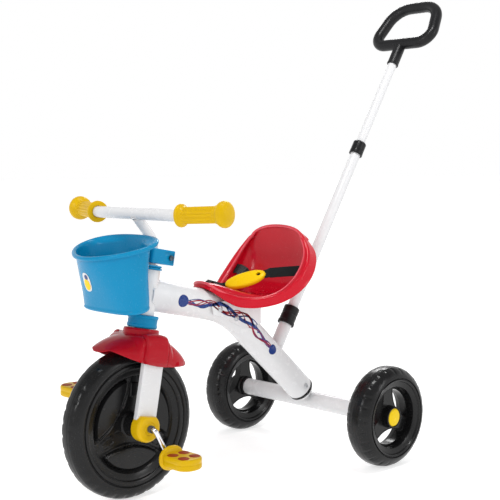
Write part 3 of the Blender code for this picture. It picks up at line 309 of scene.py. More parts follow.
# ---------------------------------------------------------------- making of pieces
def piece(name, bm, mats, body, nodes=(), slot=None, smooth=38.0, matrix=None):
    """Mesh object from a bmesh in metres; rides a body, stands for CAD nodes."""
    me = bpy.data.meshes.new(name)
    bm.to_mesh(me)
    bm.free()
    obj = bpy.data.objects.new(name, me)
    bpy.context.scene.collection.objects.link(obj)
    if matrix is not None:
        me.transform(matrix)
    if not isinstance(mats, (list, tuple)):
        mats = [mats]
    for m in mats:
        me.materials.append(m)
    if smooth:
        me.shade_smooth()
        me.set_sharp_from_angle(angle=math.radians(smooth))
    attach(obj, body)
    if nodes:
        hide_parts(*nodes)
    if slot is None:
        slot = [k for k, v in SLOT_NAMES.items() if v is mats[0]]
        slot = slot[0] if slot else None
    return obj


def rounded(profile, r, seg=3, closed=True, keep=()):
    """The profile with its corners rounded."""
    pts = [Vector((p[0], p[1])) for p in profile]
    n = len(pts)
    out = []
    for i, p in enumerate(pts):
        if (not closed and i in (0, n - 1)) or i in keep:
            out.append(p)
            continue
        a, c = pts[i - 1], pts[(i + 1) % n]
        u, v = a - p, c - p
        la, lc = u.length, v.length
        if la < 1e-6 or lc < 1e-6:
            out.append(p)
            continue
        u, v = u / la, v / lc
        ang = u.angle(v)
        if ang > math.radians(172):
            out.append(p)
            continue
        t = min(r / math.tan(ang / 2), 0.42 * la, 0.42 * lc)
        s, e = p + u * t, p + v * t
        for k in range(seg + 1):
            w = k / seg
            out.append(s * (1 - w) ** 2 + p * 2 * w * (1 - w) + e * w ** 2)
    return [(q.x, q.y) for q in out]


def lathe_bm(profile, n=64, closed=True, warp=None, bm=None, matrix=None):
    """Turned body about local Z; profile in mm; warp(r, angle, z) may move a point."""
    bm = bm or bmesh.new()
    rows = []
    for r, h in profile:
        if r < 1e-6:
            v = bm.verts.new((0.0, 0.0, h * MM))
            rows.append([v] * n)
            continue
        row = []
        for k in range(n):
            a = 2 * math.pi * k / n
            rr, hh = (r, h) if warp is None else warp(r, a, h)
            row.append(bm.verts.new((rr * math.cos(a) * MM, rr * math.sin(a) * MM, hh * MM)))
        rows.append(row)
    pairs = list(zip(rows, rows[1:])) + ([(rows[-1], rows[0])] if closed else [])
    for a, b in pairs:
        for k in range(n):
            j = (k + 1) % n
            quad = []
            for v in (a[k], a[j], b[j], b[k]):
                if v not in quad:
                    quad.append(v)
            if len(quad) > 2:
                bm.faces.new(quad)
    if matrix is not None:
        done = {id(v): v for row in rows for v in row}
        for v in done.values():
            v.co = matrix @ v.co
    bmesh.ops.recalc_face_normals(bm, faces=bm.faces)
    return bm


def lathe(name, profile, matrix, mats, body, nodes=(), r=0.6, seg=3, n=64, closed=True, warp=None, smooth=38.0, slot=None):
    prof = rounded(profile, r, seg, closed) if r else profile
    bm = lathe_bm(prof, n, closed, warp, None, matrix)
    return piece(name, bm, mats, body, nodes, slot, smooth)


def fillet_path(points, radii, step=12):
    pts = [Vector(p) for p in points]
    out = [pts[0]]
    for i in range(1, len(pts) - 1):
        a, b, c = pts[i - 1], pts[i], pts[i + 1]
        u, v = (a - b).normalized(), (c - b).normalized()
        ang = u.angle(v)
        r = radii[i - 1]
        t = r / math.tan(ang / 2)
        s, e = b + u * t, b + v * t
        centre = b + (u + v).normalized() * (r / math.sin(ang / 2))
        a0, a1 = s - centre, e - centre
        th = a0.angle(a1)
        for k in range(step + 1):
            w = k / step
            out.append(centre + (a0 * math.sin((1 - w) * th) + a1 * math.sin(w * th)) / math.sin(th))
    out.append(pts[-1])
    return out


def densify(points, longest, cyclic=False):
    out = []
    n = len(points)
    for i in range(n if cyclic else n - 1):
        a, b = points[i], points[(i + 1) % n]
        k = max(1, math.ceil((b - a).length / longest))
        out += [a.lerp(b, j / k) for j in range(k)]
    if not cyclic:
        out.append(points[-1])
    return out


def path_frames(points, cyclic=False, hint=LEFT):
    """Tangent, side and normal at each point, carried along without twist."""
    n = len(points)
    tans = []
    for i in range(n):
        if cyclic:
            t = points[(i + 1) % n] - points[i - 1]
        else:
            t = points[min(n - 1, i + 1)] - points[max(0, i - 1)]
        tans.append(t.normalized())
    side = (hint - tans[0] * hint.dot(tans[0])).normalized()
    out = []
    for t in tans:
        side = (side - t * side.dot(t)).normalized()
        out.append((t, side, t.cross(side)))
    return out


def sweep_bm(points, radius, n=32, cyclic=False, hint=LEFT, caps=True, bm=None, section=None, bore=None, edge=1.0):
    """Round bar or tube along points in mm. radius(i) or a number; section(i, angle) -> (side, normal) in mm."""
    bm = bm or bmesh.new()
    uv = bm.loops.layers.uv.verify()
    fr = path_frames(points, cyclic, hint)
    rad = radius if callable(radius) else (lambda i: radius)

    def ring(i, grow=0.0, shift=0.0):
        t, s, nn = fr[i]
        row = []
        for k in range(n):
            a = 2 * math.pi * k / n
            if section:
                x, y = section(i, a)
                q = math.hypot(x, y)
                x, y = x * (q + grow) / q, y * (q + grow) / q
            else:
                x, y = (rad(i) + grow) * math.cos(a), (rad(i) + grow) * math.sin(a)
            row.append(bm.verts.new(world(points[i] + t * shift + s * x + nn * y)))
        return row

    rows, along = [], []
    length = 0.0
    m = len(points)
    for i in range(m):
        if i:
            length += (points[i] - points[i - 1]).length
        rows.append(ring(i))
        along.append(length * MM)
    if not cyclic and caps:
        e = edge
        first = [ring(0, -e * 0.3, 0.0), ring(0, -e, 0.0)]
        last = [ring(m - 1, -e * 0.3, 0.0), ring(m - 1, -e, 0.0)]
        for row, sg, i in ((rows[0], 1.0, 0), (rows[-1], -1.0, m - 1)):
            for v in row:
                v.co += fr[i][0] * (sg * e * MM)
        for row, sg, i in ((first[0], 1.0, 0), (last[0], -1.0, m - 1)):
            for v in row:
                v.co += fr[i][0] * (sg * e * 0.3 * MM)
        rows = [first[1], first[0]] + rows + [last[0], last[1]]
        along = [along[0]] * 2 + along + [along[-1]] * 2
        if bore:
            wall = (lambda i: bore(i)) if callable(bore) else (lambda i: bore)
            for rws, i, sg in ((True, m - 1, -1.0), (False, 0, 1.0)):
                inner = []
                for sh in (0.0, 60.0):
                    t, s, nn = fr[i]
                    inner.append([bm.verts.new(world(points[i] + t * (sg * sh) + s * (wall(i) * math.cos(2 * math.pi * k / n))
                                                     + nn * (wall(i) * math.sin(2 * math.pi * k / n)))) for k in range(n)])
                if rws:
                    rows += inner
                    along += [along[-1], along[-1] + 0.06]
                else:
                    rows = inner[::-1] + rows
                    along = [along[0] - 0.06, along[0]] + along
    pairs = list(range(len(rows) - 1))
    for i in pairs:
        a, b = rows[i], rows[i + 1]
        for k in range(n):
            j = (k + 1) % n
            f = bm.faces.new((a[k], a[j], b[j], b[k]))
            for lp, (uu, vv) in zip(f.loops, ((along[i], k), (along[i], k + 1), (along[i + 1], k + 1), (along[i + 1], k))):
                lp[uv].uv = (uu, vv / n * 0.1)
    if cyclic:
        a, b = rows[-1], rows[0]
        for k in range(n):
            j = (k + 1) % n
            bm.faces.new((a[k], a[j], b[j], b[k]))
    elif not bore:
        bm.faces.new(rows[0])
        bm.faces.new(rows[-1])
    bmesh.ops.recalc_face_normals(bm, faces=bm.faces)
    return bm


def pillow_bm(rings, matrix=None, bm=None, cap=True):
    """Closed body from a stack of outlines of equal length; each ring a list of Vectors in metres."""
    bm = bm or bmesh.new()
    rows = [[bm.verts.new(p) for p in ring] for ring in rings]
    n = len(rows[0])
    for a, b in zip(rows, rows[1:]):
        for k in range(n):
            j = (k + 1) % n
            bm.faces.new((a[k], a[j], b[j], b[k]))
    if cap:
        bm.faces.new(rows[0])
        bm.faces.new(rows[-1])
    if matrix is not None:
        for row in rows:
            for v in row:
                v.co = matrix @ v.co
    bmesh.ops.recalc_face_normals(bm, faces=bm.faces)
    return bm


def superellipse(ax, ay, e, n):
    """Outline in mm; e 1 is an ellipse, smaller is squarer."""
    out = []
    for k in range(n):
        a = 2 * math.pi * k / n
        c, s = math.cos(a), math.sin(a)
        out.append((ax * math.copysign(abs(c) ** e, c), ay * math.copysign(abs(s) ** e, s)))
    return out


def round_rect(ax, ay, r, seg=8):
    """Outline of a rectangle of half sides ax, ay with round corners, counterclockwise."""
    r = min(r, ax, ay)
    out = []
    for cx, cy, a0 in ((ax - r, ay - r, 0.0), (-ax + r, ay - r, 90.0), (-ax + r, -ay + r, 180.0), (ax - r, -ay + r, 270.0)):
        for k in range(seg + 1):
            a = math.radians(a0 + 90.0 * k / seg)
            out.append((cx + r * math.cos(a), cy + r * math.sin(a)))
    return out


def block_bm(ax, ay, az, corner, edge, matrix, bm=None, seg=8, eseg=4):
    """Block of half sides ax, ay, az with round corners seen along Z and soft top and bottom edges."""
    rings = []
    for sg in (-1.0, 1.0):
        steps = range(eseg + 1) if sg < 0 else range(eseg, -1, -1)
        for k in steps:
            a = math.pi / 2 * k / eseg
            inset = edge * (1 - math.sin(a))
            z = az - edge * (1 - math.cos(a))
            rings.append([Vector((x * MM, y * MM, sg * z * MM)) for x, y in
                          round_rect(ax - inset, ay - inset, max(0.3, corner - inset), seg)])
    return pillow_bm(rings, matrix, bm)


def cut(obj, cutters):
    """Boolean differences, applied."""
    for c in cutters:
        m = obj.modifiers.new("cut", "BOOLEAN")
        m.operation = "DIFFERENCE"
        m.solver = "EXACT"
        m.object = c
    dg = bpy.context.evaluated_depsgraph_get()
    dg.update()
    me = bpy.data.meshes.new_from_object(obj.evaluated_get(dg))
    for m in list(obj.modifiers):
        obj.modifiers.remove(m)
    obj.data = me
    for c in cutters:
        mesh = c.data
        bpy.data.objects.remove(c, do_unlink=True)
        bpy.data.meshes.remove(mesh)
    return obj


def cutter(bm):
    me = bpy.data.meshes.new("cutter")
    bm.to_mesh(me)
    bm.free()
    obj = bpy.data.objects.new("cutter", me)
    bpy.context.scene.collection.objects.link(obj)
    return obj


def soften(obj, width, seg=2, angle=35.0):
    m = obj.modifiers.new("edges", "BEVEL")
    m.width = width * MM
    m.segments = seg
    m.limit_method = "ANGLE"
    m.angle_limit = math.radians(angle)
    m.harden_normals = False
    return obj


AXIS_M = frame_matrix(HUB, AXIS)
Y_HUB = frame_matrix(HUB, LEFT)
Y_REAR = frame_matrix(REAR_AXLE, LEFT)
POLE_M = frame_matrix(POLE_0, POLE)
STUB_M = frame_matrix(MAIN_END, MAIN_DIR)

# ---------------------------------------------------------------- main tube
D1 = Vector((-0.973, 0.0, -0.23)).normalized()
main_path = fillet_path([Vector((-43.0, 0.0, 350.7)) + D1 * 24.0, Vector((-232.6, 0.0, 305.8)), MAIN_END], [190.0], 36)
main_path = densify(main_path, 7.0)
main_s = [0.0]
for a, b in zip(main_path, main_path[1:]):
    main_s.append(main_s[-1] + (b - a).length)
MAIN_LEN = main_s[-1]
main_fr = path_frames(main_path)


def main_radius(s):
    return 28.3 - 2.1 * (s + 24.0) / (MAIN_LEN + 24.0)


def main_section(i, a):
    """The front end is pressed narrower to meet the head tube."""
    s = main_s[i]
    r = main_radius(s)
    w = 1.0 - smoothstep(0.0, 34.0, s)
    return (r * (1.0 - w) + 20.4 * w) * math.cos(a), r * math.sin(a)


def hit_cylinder(p, d, centre, axis, radius):
    """Distance along d from p to the first meeting with a cylinder."""
    q = p - centre
    q = q - axis * q.dot(axis)
    e = d - axis * d.dot(axis)
    A, B, C = e.dot(e), 2 * q.dot(e), q.dot(q) - radius * radius
    disc = B * B - 4 * A * C
    if disc < 0:
        return -B / (2 * A)
    return (-B - math.sqrt(disc)) / (2 * A)


bm = sweep_bm(main_path, 28.0, 72, caps=False, section=main_section)
bm.verts.ensure_lookup_table()
front_ring = [bm.verts[k] for k in range(72)]
bead = []
for v in front_ring:
    p = Vector((v.co.x / MM - SHIFT_X, v.co.y / MM, v.co.z / MM))
    t = hit_cylinder(p, -D1, HUB, AXIS, 18.3)
    q = p - D1 * t
    bead.append(q)
    v.co = world(q)
main_tube = piece("main_tube_shell", bm, WHITE, "frame", ["main_tube"], smooth=50)
sol = main_tube.modifiers.new("wall", "SOLIDIFY")
sol.thickness = 1.8 * MM
sol.offset = -1.0
bead = [q + D1 * 0.5 for q in bead]
bm = sweep_bm(bead, lambda i: 1.7 + 0.28 * math.sin(i * 2.3) + 0.15 * math.sin(i * 5.1), 10, cyclic=True)
piece("weld_head", bm, WHITE, "frame", smooth=70)


def main_surface(s, w, off=0.0):
    """Point on the main tube at s along it and w mm round it from the middle of its left side."""
    i = min(range(len(main_s)), key=lambda k: abs(main_s[k] - s))
    i = max(0, min(len(main_s) - 2, i if main_s[i] <= s else i - 1))
    f = (s - main_s[i]) / (main_s[i + 1] - main_s[i])
    p = main_path[i].lerp(main_path[i + 1], f)
    t, sd, nn = (main_fr[i][k].lerp(main_fr[i + 1][k], f).normalized() for k in range(3))
    r = main_radius(s) + off
    x0, _ = main_section(i, 0.0)
    x1, _ = main_section(i + 1, 0.0)
    rx = x0 + (x1 - x0) * f + off
    a = w / r
    return p + sd * (rx * math.cos(a)) + nn * (r * math.sin(a))


def over_cheek(q):
    """The seat bracket's cheek lies over part of the tube: what is printed there is on the cheek."""
    low = lerp_table([(-292.0, 274.0), (-256.0, 270.0), (-238.0, 274.0), (-190.0, 298.0), (-172.0, 303.0), (-168.0, 318.0)], q.x)[0]
    if -292.5 < q.x < -167.5 and q.z > low - 1.0:
        return Vector((q.x, max(q.y, 31.85), q.z))
    return q


def strip(bm, pts, mirror, mat):
    """Printed band: pts are (s, low w, high w)."""
    rows = []
    for s, lo, hi in pts:
        k = 5
        row = []
        for j in range(k):
            q = over_cheek(main_surface(s, lo + (hi - lo) * j / (k - 1), 0.16))
            if mirror:
                q.y = -q.y
            row.append(bm.verts.new(world(q)))
        rows.append(row)
    for a, b in zip(rows, rows[1:]):
        for j in range(len(a) - 1):
            f = bm.faces.new((a[j], a[j + 1], b[j + 1], b[j]))
            f.material_index = mat


def spot(bm, s, w, r, mirror, mat, r_in=0.0):
    n = 32
    rings_ = []
    for q in (r, (r + r_in) / 2, max(r_in, 0.05)):
        row = []
        for k in range(n):
            a = 2 * math.pi * k / n
            p = over_cheek(main_surface(s + q * math.cos(a), w + q * math.sin(a), 0.2))
            if mirror:
                p.y = -p.y
            row.append(bm.verts.new(world(p)))
        rings_.append(row)
    for a, b in zip(rings_, rings_[1:]):
        for k in range(n):
            j = (k + 1) % n
            f = bm.faces.new((a[k], a[j], b[j], b[k]))
            f.material_index = mat


def band(s0, s1, mid, half, n=40):
    out = []
    for k in range(n + 1):
        t = k / n
        m, h = mid(t), half(t)
        out.append((s0 + (s1 - s0) * t, m - h, m + h))
    return out


bm = bmesh.new()
S0, S1 = 45.0, 292.0
for mirror in (False, True):
    spot(bm, S0 - 5.0, 1.5, 11.5, mirror, 0)
    spot(bm, S1 + 6.0, 0.0, 10.0, mirror, 0)
    for mat, amp, turns, phase, half in ((0, 6.0, 2.2, 0.0, 3.2), (1, 8.6, 2.2, 0.42, 1.6), (0, 9.2, 3.1, 0.75, 1.5),
                                         (1, 10.4, 2.6, 0.15, 1.2), (0, 11.4, 1.7, 0.55, 1.0), (1, 6.2, 3.5, 0.9, 1.0)):
        env = lambda t: math.sin(math.pi * t) ** 0.45 if 0.0 < t < 1.0 else 0.0
        strip(bm, band(S0 - 2.0, S1 + 2.0, lambda t: amp * env(t) * math.sin(2 * math.pi * (turns * t + phase)) + 1.5 - 2.0 * t,
                       lambda t: half * (0.35 + 0.65 * env(t)), 110), mirror, mat)
    for k in range(4):
        t = 0.2 + 0.2 * k
        spot(bm, S0 + (S1 - S0) * t, 3.0 - 5.0 * (k % 2), 2.4, mirror, 0)
piece("frame_print", bm, [INK_BLUE, INK_RED], "frame", slot="white_paint", smooth=60)

# ---------------------------------------------------------------- head tube, bushes
lathe("head_tube_shell", [(18.7, 267.7), (18.7, 188.3), (15.65, 188.3), (15.65, 267.7)], AXIS_M, WHITE, "frame",
      ["head_tube"], 0.7, 3, 72)
lathe("lower_bush_shell", [(13.1, 199.0), (15.3, 199.0), (15.3, 188.0), (25.6, 188.0), (27.0, 186.6), (27.0, 183.0),
                           (25.8, 181.6), (25.8, 172.4), (26.6, 171.4), (26.6, 168.0), (24.6, 165.8), (13.1, 165.8)],
      AXIS_M, BLUE, "frame", ["lower_headset_bush"], 0.8, 3, 72)
lathe("upper_bush_shell", [(13.1, 275.5), (19.2, 275.5), (20.2, 274.6), (20.2, 272.6), (18.2, 272.0), (18.2, 271.2),
                           (21.0, 270.8), (21.0, 268.0), (15.3, 268.0), (15.3, 258.0), (13.1, 258.0)],
      AXIS_M, BLUE, "frame", ["upper_headset_bush"], 0.5, 3, 72)

# ---------------------------------------------------------------- rear axle tube, stub, end ring
lathe("axle_tube_shell", [(17.0, 179.0), (17.0, -179.0), (15.2, -179.0), (15.2, 179.0)], Y_REAR, WHITE, "frame",
      ["rear_axle_tube"], 0.7, 3, 64)
lathe("stub_shell", [(20.5, 16.0), (20.5, -46.0), (17.5, -46.0), (17.5, 16.0)], STUB_M, WHITE, "frame", ["axle_stub_tube"],
      0.3, 2, 64)
lathe("end_ring_shell", [(20.9, 8.0), (24.2, 8.0), (26.4, 6.4), (26.4, 0.3), (23.2, 0.3), (23.2, -30.0), (20.9, -30.0)],
      STUB_M, BLACK, "frame", ["main_tube_end_ring"], 0.9, 4, 64)
for side, sgn in (("left", 1.0), ("right", -1.0)):
    m = frame_matrix(REAR_AXLE, (0.0, sgn, 0.0))
    lathe(f"axle_bush_shell_{side}", [(5.3, 181.6), (17.5, 181.6), (19.3, 180.8), (19.3, 179.3), (14.9, 179.3),
                                      (14.9, 160.0), (5.3, 160.0)], m, BLACK, "frame", [f"axle_bush_{side}"], 0.4, 3, 48)

# ---------------------------------------------------------------- pole socket and its weld, pole
ring_pts = []
pm = Matrix((Vector((math.cos(POLE_ANGLE), 0.0, math.sin(POLE_ANGLE))), LEFT, POLE)).transposed()
for k in range(48):
    a = 2 * math.pi * k / 48
    base = on_pole(60.0) + pm.col[0] * (12.9 * math.cos(a)) + pm.col[1] * (12.9 * math.sin(a))
    t = hit_cylinder(base, -POLE, POLE_0, MAIN_DIR, 26.7)
    ring_pts.append(base - POLE * t)
bm = sweep_bm(ring_pts, lambda i: 1.7 + 0.25 * math.sin(i * 2.1) + 0.15 * math.sin(i * 4.7), 10, cyclic=True)
piece("weld_socket", bm, WHITE, "frame", smooth=70)
socket_shell = lathe("socket_shell", [(12.9, 104.0), (12.9, 20.0), (11.1, 20.0), (11.1, 104.0)], POLE_M, WHITE, "frame",
      ["pole_socket_tube"], 0.4, 2, 48)
socket_collar = lathe("socket_collar_shell", [(11.0, 110.0), (14.4, 110.0), (15.8, 108.4), (15.8, 96.0), (15.2, 95.2), (15.2, 92.8),
                              (15.8, 92.0), (15.8, 80.0), (17.0, 77.6), (17.0, 72.6), (16.2, 72.0), (13.3, 72.0), (13.3, 104.3),
                              (11.0, 104.3)], POLE_M, BLACK, "frame", ["socket_collar"], 0.6, 3, 64)
lathe("lower_pole_shell", [(10.6, 480.0), (10.6, 40.0), (9.6, 40.0), (9.6, 480.0)], POLE_M, WHITE, "frame",
      ["pole_lower_tube"], 0.25, 2, 56)
pole_collar = lathe("pole_collar_shell", [(9.6, 497.0), (12.4, 497.0), (13.8, 495.2), (13.9, 480.0), (13.3, 479.2), (13.3, 477.8),
                            (14.0, 477.0), (14.2, 468.0), (11.0, 468.0), (11.0, 480.3), (9.6, 480.3)],
      POLE_M, BLACK, "frame", ["pole_collar"], 0.6, 3, 64)
lathe("upper_pole_shell", [(9.2, 738.0), (9.2, 300.0), (8.0, 300.0), (8.0, 738.0)], POLE_M, WHITE, "upper_pole",
      ["pole_upper_tube"], 0.25, 2, 56)
for name, s, r_in, r_out, body in (("pole_button", 488.0, 10.9, 16.2, "pole_lock_button"),
                                   ("socket_button", 92.0, 13.4, 18.0, "socket_lock_button")):
    m = frame_matrix(on_pole(s), Vector((-math.cos(POLE_ANGLE), 0.0, -math.sin(POLE_ANGLE))))
    lathe(f"{name}_dome", [(0.0, r_out), (2.4, r_out - 0.3), (4.0, r_out - 1.8), (4.0, r_in), (0.0, r_in)], m, BLACK, body,
          [name], 0.5, 3, 32, closed=False)
    # the button stands in a hole through the parts round it
    for part in ((socket_shell, socket_collar) if name == "socket_button" else (pole_collar,)):
        low = 10.7 if name == "socket_button" else 9.3
        cut(part, [cutter(lathe_bm([(0.0, 24.0), (4.4, 24.0), (4.4, low), (0.0, low)], 40, False, None, None, m))])
        part.data.shade_smooth()
        part.data.set_sharp_from_angle(angle=math.radians(38))


# push handle: loop and stem
def handle_loop(n=14):
    wb, wt, H, rb, rt = 79.5, 56.7, 103.3, 29.0, 47.0
    ang = math.radians(36.5)
    base = Vector((-754.0, 0.0, 830.5))
    up = Vector((-math.sin(ang), 0.0, math.cos(ang)))
    corners = [(-wb, 0.0, rb), (wb, 0.0, rb), (wt, H, rt), (-wt, H, rt)]
    out = []
    for i in range(4):
        ax, ay, _ = corners[i - 1]
        bx, by, r = corners[i]
        cx, cy, _ = corners[(i + 1) % 4]
        a, b, c = (Vector((p[0], p[1], 0.0)) for p in ((ax, ay), (bx, by), (cx, cy)))
        for p in fillet_path([a, b, c], [r], n)[1:-1]:
            out.append(base + Vector((0.0, p.x, 0.0)) + up * p.y)
    return out


loop = densify(handle_loop(), 5.0, True)
loop_top = max(p.z for p in loop)


def handle_radius(i):
    """Shallow rings pressed into the top of the loop where it is held."""
    p = loop[i]
    held = smoothstep(loop_top - 14.0, loop_top - 8.0, p.z)
    return 12.1 - 0.45 * held * (0.5 + 0.5 * math.cos(p.y * 2 * math.pi / 9.0))


bm = sweep_bm(loop, handle_radius, 40, cyclic=True)
lathe_bm(rounded([(12.0, 752.0), (12.0, 700.0), (12.6, 699.0), (12.6, 697.5), (11.6, 696.0), (9.5, 696.0), (9.5, 752.0)],
                 0.5, 3, True), 56, True, None, bm, POLE_M)
piece("push_handle_grip", bm, BLACK, "upper_pole", ["push_handle"], smooth=50)

# ---------------------------------------------------------------- seat
SEAT_RIM = [
    (0.00, -164.0, 0.0, 356.5), (0.05, -168.0, 13.0, 356.5), (0.10, -175.0, 24.5, 352.5), (0.16, -188.0, 32.5, 343.5),
    (0.22, -204.0, 40.0, 335.0), (0.29, -223.0, 49.0, 328.8), (0.36, -245.0, 63.0, 325.0), (0.43, -266.0, 78.5, 327.5),
    (0.50, -287.0, 94.5, 336.0), (0.57, -307.0, 104.0, 349.0), (0.64, -326.0, 107.5, 364.0),
    (0.71, -342.0, 106.5, 381.0), (0.78, -354.5, 101.0, 399.0), (0.84, -363.0, 91.0, 415.5), (0.90, -369.0, 74.0, 432.0),
    (0.95, -371.5, 45.0, 447.0), (1.00, -372.0, 0.0, 455.0)]
SEAT_MID = [
    (0.00, -164.0, 0.0, 356.5), (0.08, -168.0, 0.0, 358.0), (0.16, -180.0, 0.0, 359.0), (0.22, -194.0, 0.0, 356.8),
    (0.29, -214.0, 0.0, 350.0), (0.37, -242.0, 0.0, 339.8), (0.45, -275.0, 0.0, 330.8), (0.53, -310.0, 0.0, 327.8),
    (0.62, -347.0, 0.0, 333.0), (0.70, -372.0, 0.0, 352.0), (0.78, -382.5, 0.0, 385.0), (0.85, -380.5, 0.0, 421.0),
    (0.89, -376.5, 0.0, 445.0), (1.00, -360.0, 0.0, 500.0)]
SHOULDER = [(0.0, 3.0), (0.10, 4.0), (0.25, 7.0), (0.40, 12.0), (0.52, 18.0), (0.64, 20.5), (0.76, 18.5), (0.86, 12.5),
            (0.92, 8.0), (1.0, 5.0)]


def seat_up(p):
    w = max(0.0, min(1.0, (p.z - 325.0) / 90.0)) if p.x < -230.0 else 0.0
    return Vector((0.12 + 0.68 * w, 0.0, 0.99 - 0.42 * w)).normalized(), w


def rim_inner(t):
    e = 0.004
    p = Vector(lerp_table(SEAT_RIM, t))
    tan = (Vector(lerp_table(SEAT_RIM, min(1.0, t + e))) - Vector(lerp_table(SEAT_RIM, max(0.0, t - e)))).normalized()
    up, _ = seat_up(p)
    o = tan.cross(up).normalized()
    if o.dot(p - Vector((-270.0, 0.0, 360.0))) < 0:
        o = -o
    q = p - o * lerp_table(SHOULDER, t)[0] - up * 2.0
    q.y = max(0.0, q.y)
    return q


def seat_point(t, v):
    rx, ry, rz = rim_inner(t)
    mx, _, mz = lerp_table(SEAT_MID, 0.02 + 0.965 * t)
    a = abs(v) * math.pi / 2
    flat = 2.0 / (2.0 + 0.9 * math.sin(math.pi * min(1.0, max(0.0, t))))
    y = math.sin(a) ** flat
    h = 1.0 - max(0.0, math.cos(a)) ** flat
    return Vector((mx + (rx - mx) * h, math.copysign(ry * y, v), mz + (rz - mz) * h))


def around(grid, nt, nv):
    return ([grid[0][j] for j in range(nv + 1)] + [grid[i][nv] for i in range(1, nt + 1)]
            + [grid[nt][j] for j in range(nv - 1, -1, -1)] + [grid[i][0] for i in range(nt - 1, 0, -1)])


NT, NV = 64, 44
ts = [0.10 + 0.812 * (0.35 * (i / NT) + 0.65 * (0.5 - 0.5 * math.cos(math.pi * i / NT))) for i in range(NT + 1)]
rows = [[seat_point(t, -1.0 + 2.0 * j / NV) for j in range(NV + 1)] for t in ts]
border = around(rows, NT, NV)
spans = [[lerp_table(SHOULDER, t)[0] for _ in range(NV + 1)] for t in ts]
spans[NT] = [w * (0.35 + 0.65 * abs(-1.0 + 2.0 * j / NV)) for j, w in enumerate(spans[NT])]
widths = around(spans, NT, NV)
N_B = len(border)
outs = []
for i, p in enumerate(border):
    tan = (border[(i + 1) % N_B] - border[i - 1]).normalized()
    up, w = seat_up(p)
    o = tan.cross(up).normalized()
    if o.dot(p - Vector((-270.0, 0.0, p.z))) < 0:
        o = -o
    outs.append((o, up, w, tan))
for _ in range(6):                                   # even out the directions at the corners of the grid
    outs = [((outs[i - 1][0] + outs[i][0] * 2 + outs[(i + 1) % N_B][0]).normalized(), outs[i][1], outs[i][2], outs[i][3])
            for i in range(N_B)]
outline = [p + outs[i][0] * widths[i] for i, p in enumerate(border)]
for _ in range(45):
    outline = [(outline[i - 1] + outline[i] * 2 + outline[(i + 1) % N_B]) / 4 for i in range(N_B)]
reach = [(q - p) - outs[i][3] * (q - p).dot(outs[i][3]) * 0.5 for i, (p, q) in enumerate(zip(border, outline))]
for _ in range(4):
    reach = [(reach[i - 1] + reach[i] * 2 + reach[(i + 1) % N_B]) / 4 for i in range(N_B)]
t_border = around([[t] * (NV + 1) for t in ts], NT, NV)
skirt = [(0.34 + 0.66 * smoothstep(0.10, 0.30, t)) * (1.0 - 0.45 * smoothstep(0.84, 0.91, t)) for t in t_border]
LIP = [(0.0, 0.5, 0.0), (0.0, 1.1, 0.5), (0.02, 1.5, 1.9), (0.06, 1.6, 2.6), (0.2, 1.2, 3.3), (0.4, 0.6, 3.7), (0.6, 0.0, 3.7),
       (0.8, -0.6, 3.2), (0.92, -0.6, 2.4), (1.0, -0.3, 1.2), (1.0, 0.6, -0.2), (1.0, 1.3, -2.0), (1.0, 2.0, -5.0),
       (1.0, 2.9, -9.0), (1.0, 3.7, -12.5), (1.0, 4.5, -14.8), (1.0, 5.0, -15.6), (1.0, 5.2, -16.4)]
bm = bmesh.new()
vv = [[bm.verts.new(world(p)) for p in row] for row in rows]
for a, b in zip(vv, vv[1:]):
    for j in range(NV):
        bm.faces.new((a[j], b[j], b[j + 1], a[j + 1]))
edge = around(vv, NT, NV)
for k_, a_, b_ in LIP:
    nxt = []
    for p, (o, up, w, tan), d, f in zip(border, outs, reach, skirt):
        u = (up - tan * up.dot(tan)).normalized()
        flare = a_ * (1.0 - 0.75 * w) if b_ < -0.5 else a_
        drop = b_ * f if b_ < 0.0 else b_
        nxt.append(bm.verts.new(world(p + d * k_ + d.normalized() * flare * (0.5 + 0.5 * f) + u * (drop * (1.0 + 0.35 * w)))))
    for i in range(N_B):
        j = (i + 1) % N_B
        bm.faces.new((edge[i], edge[j], nxt[j], nxt[i]))
    edge = nxt
bmesh.ops.recalc_face_normals(bm, faces=bm.faces)
probe = min(bm.faces, key=lambda f: (f.calc_center_median() - world((-303.0, 0.0, 328.0))).length)
if probe.normal.z < 0:
    bmesh.ops.reverse_faces(bm, faces=bm.faces)
seat = piece("seat_bucket", bm, RED, "frame", ["seat_shell"], smooth=75)
# bead where the bowl turns into its rolled edge, in a lighter pink than the seat: a painted highlight
crease = []
for p, (o, up, w, tan), d in zip(border, outs, reach):
    u = (up - tan * up.dot(tan)).normalized()
    crease.append(p + d * 0.12 + d.normalized() * 1.7 + u * (1.5 * (1.0 + 0.35 * w)))
for _ in range(12):
    crease = [(crease[i - 1] + crease[i] * 2 + crease[(i + 1) % N_B]) / 4 for i in range(N_B)]
piece("seat_bead", sweep_bm(crease, 2.7, 18, cyclic=True), RED_HIGHLIGHT_PAINT, "frame", (), slot="red_plastic", smooth=70)
sol = seat.modifiers.new("wall", "SOLIDIFY")
sol.thickness = 3.0 * MM
sol.offset = -1.0


def wall_frame(t, v):
    e = 0.012
    p = seat_point(t, v)
    dt = (seat_point(t + e, v) - seat_point(t - e, v)).normalized()
    dv = (seat_point(t, min(1.0, v + e)) - seat_point(t, v - e)).normalized()
    n = dt.cross(dv).normalized()
    if n.dot(Vector((-250.0, 0.0, 420.0)) - p) < 0:
        n = -n
    return p, n, dt, dv


def t_at(x):
    return min((k / 500 for k in range(40, 340)), key=lambda k: abs(seat_point(k, 0.0).x - x))


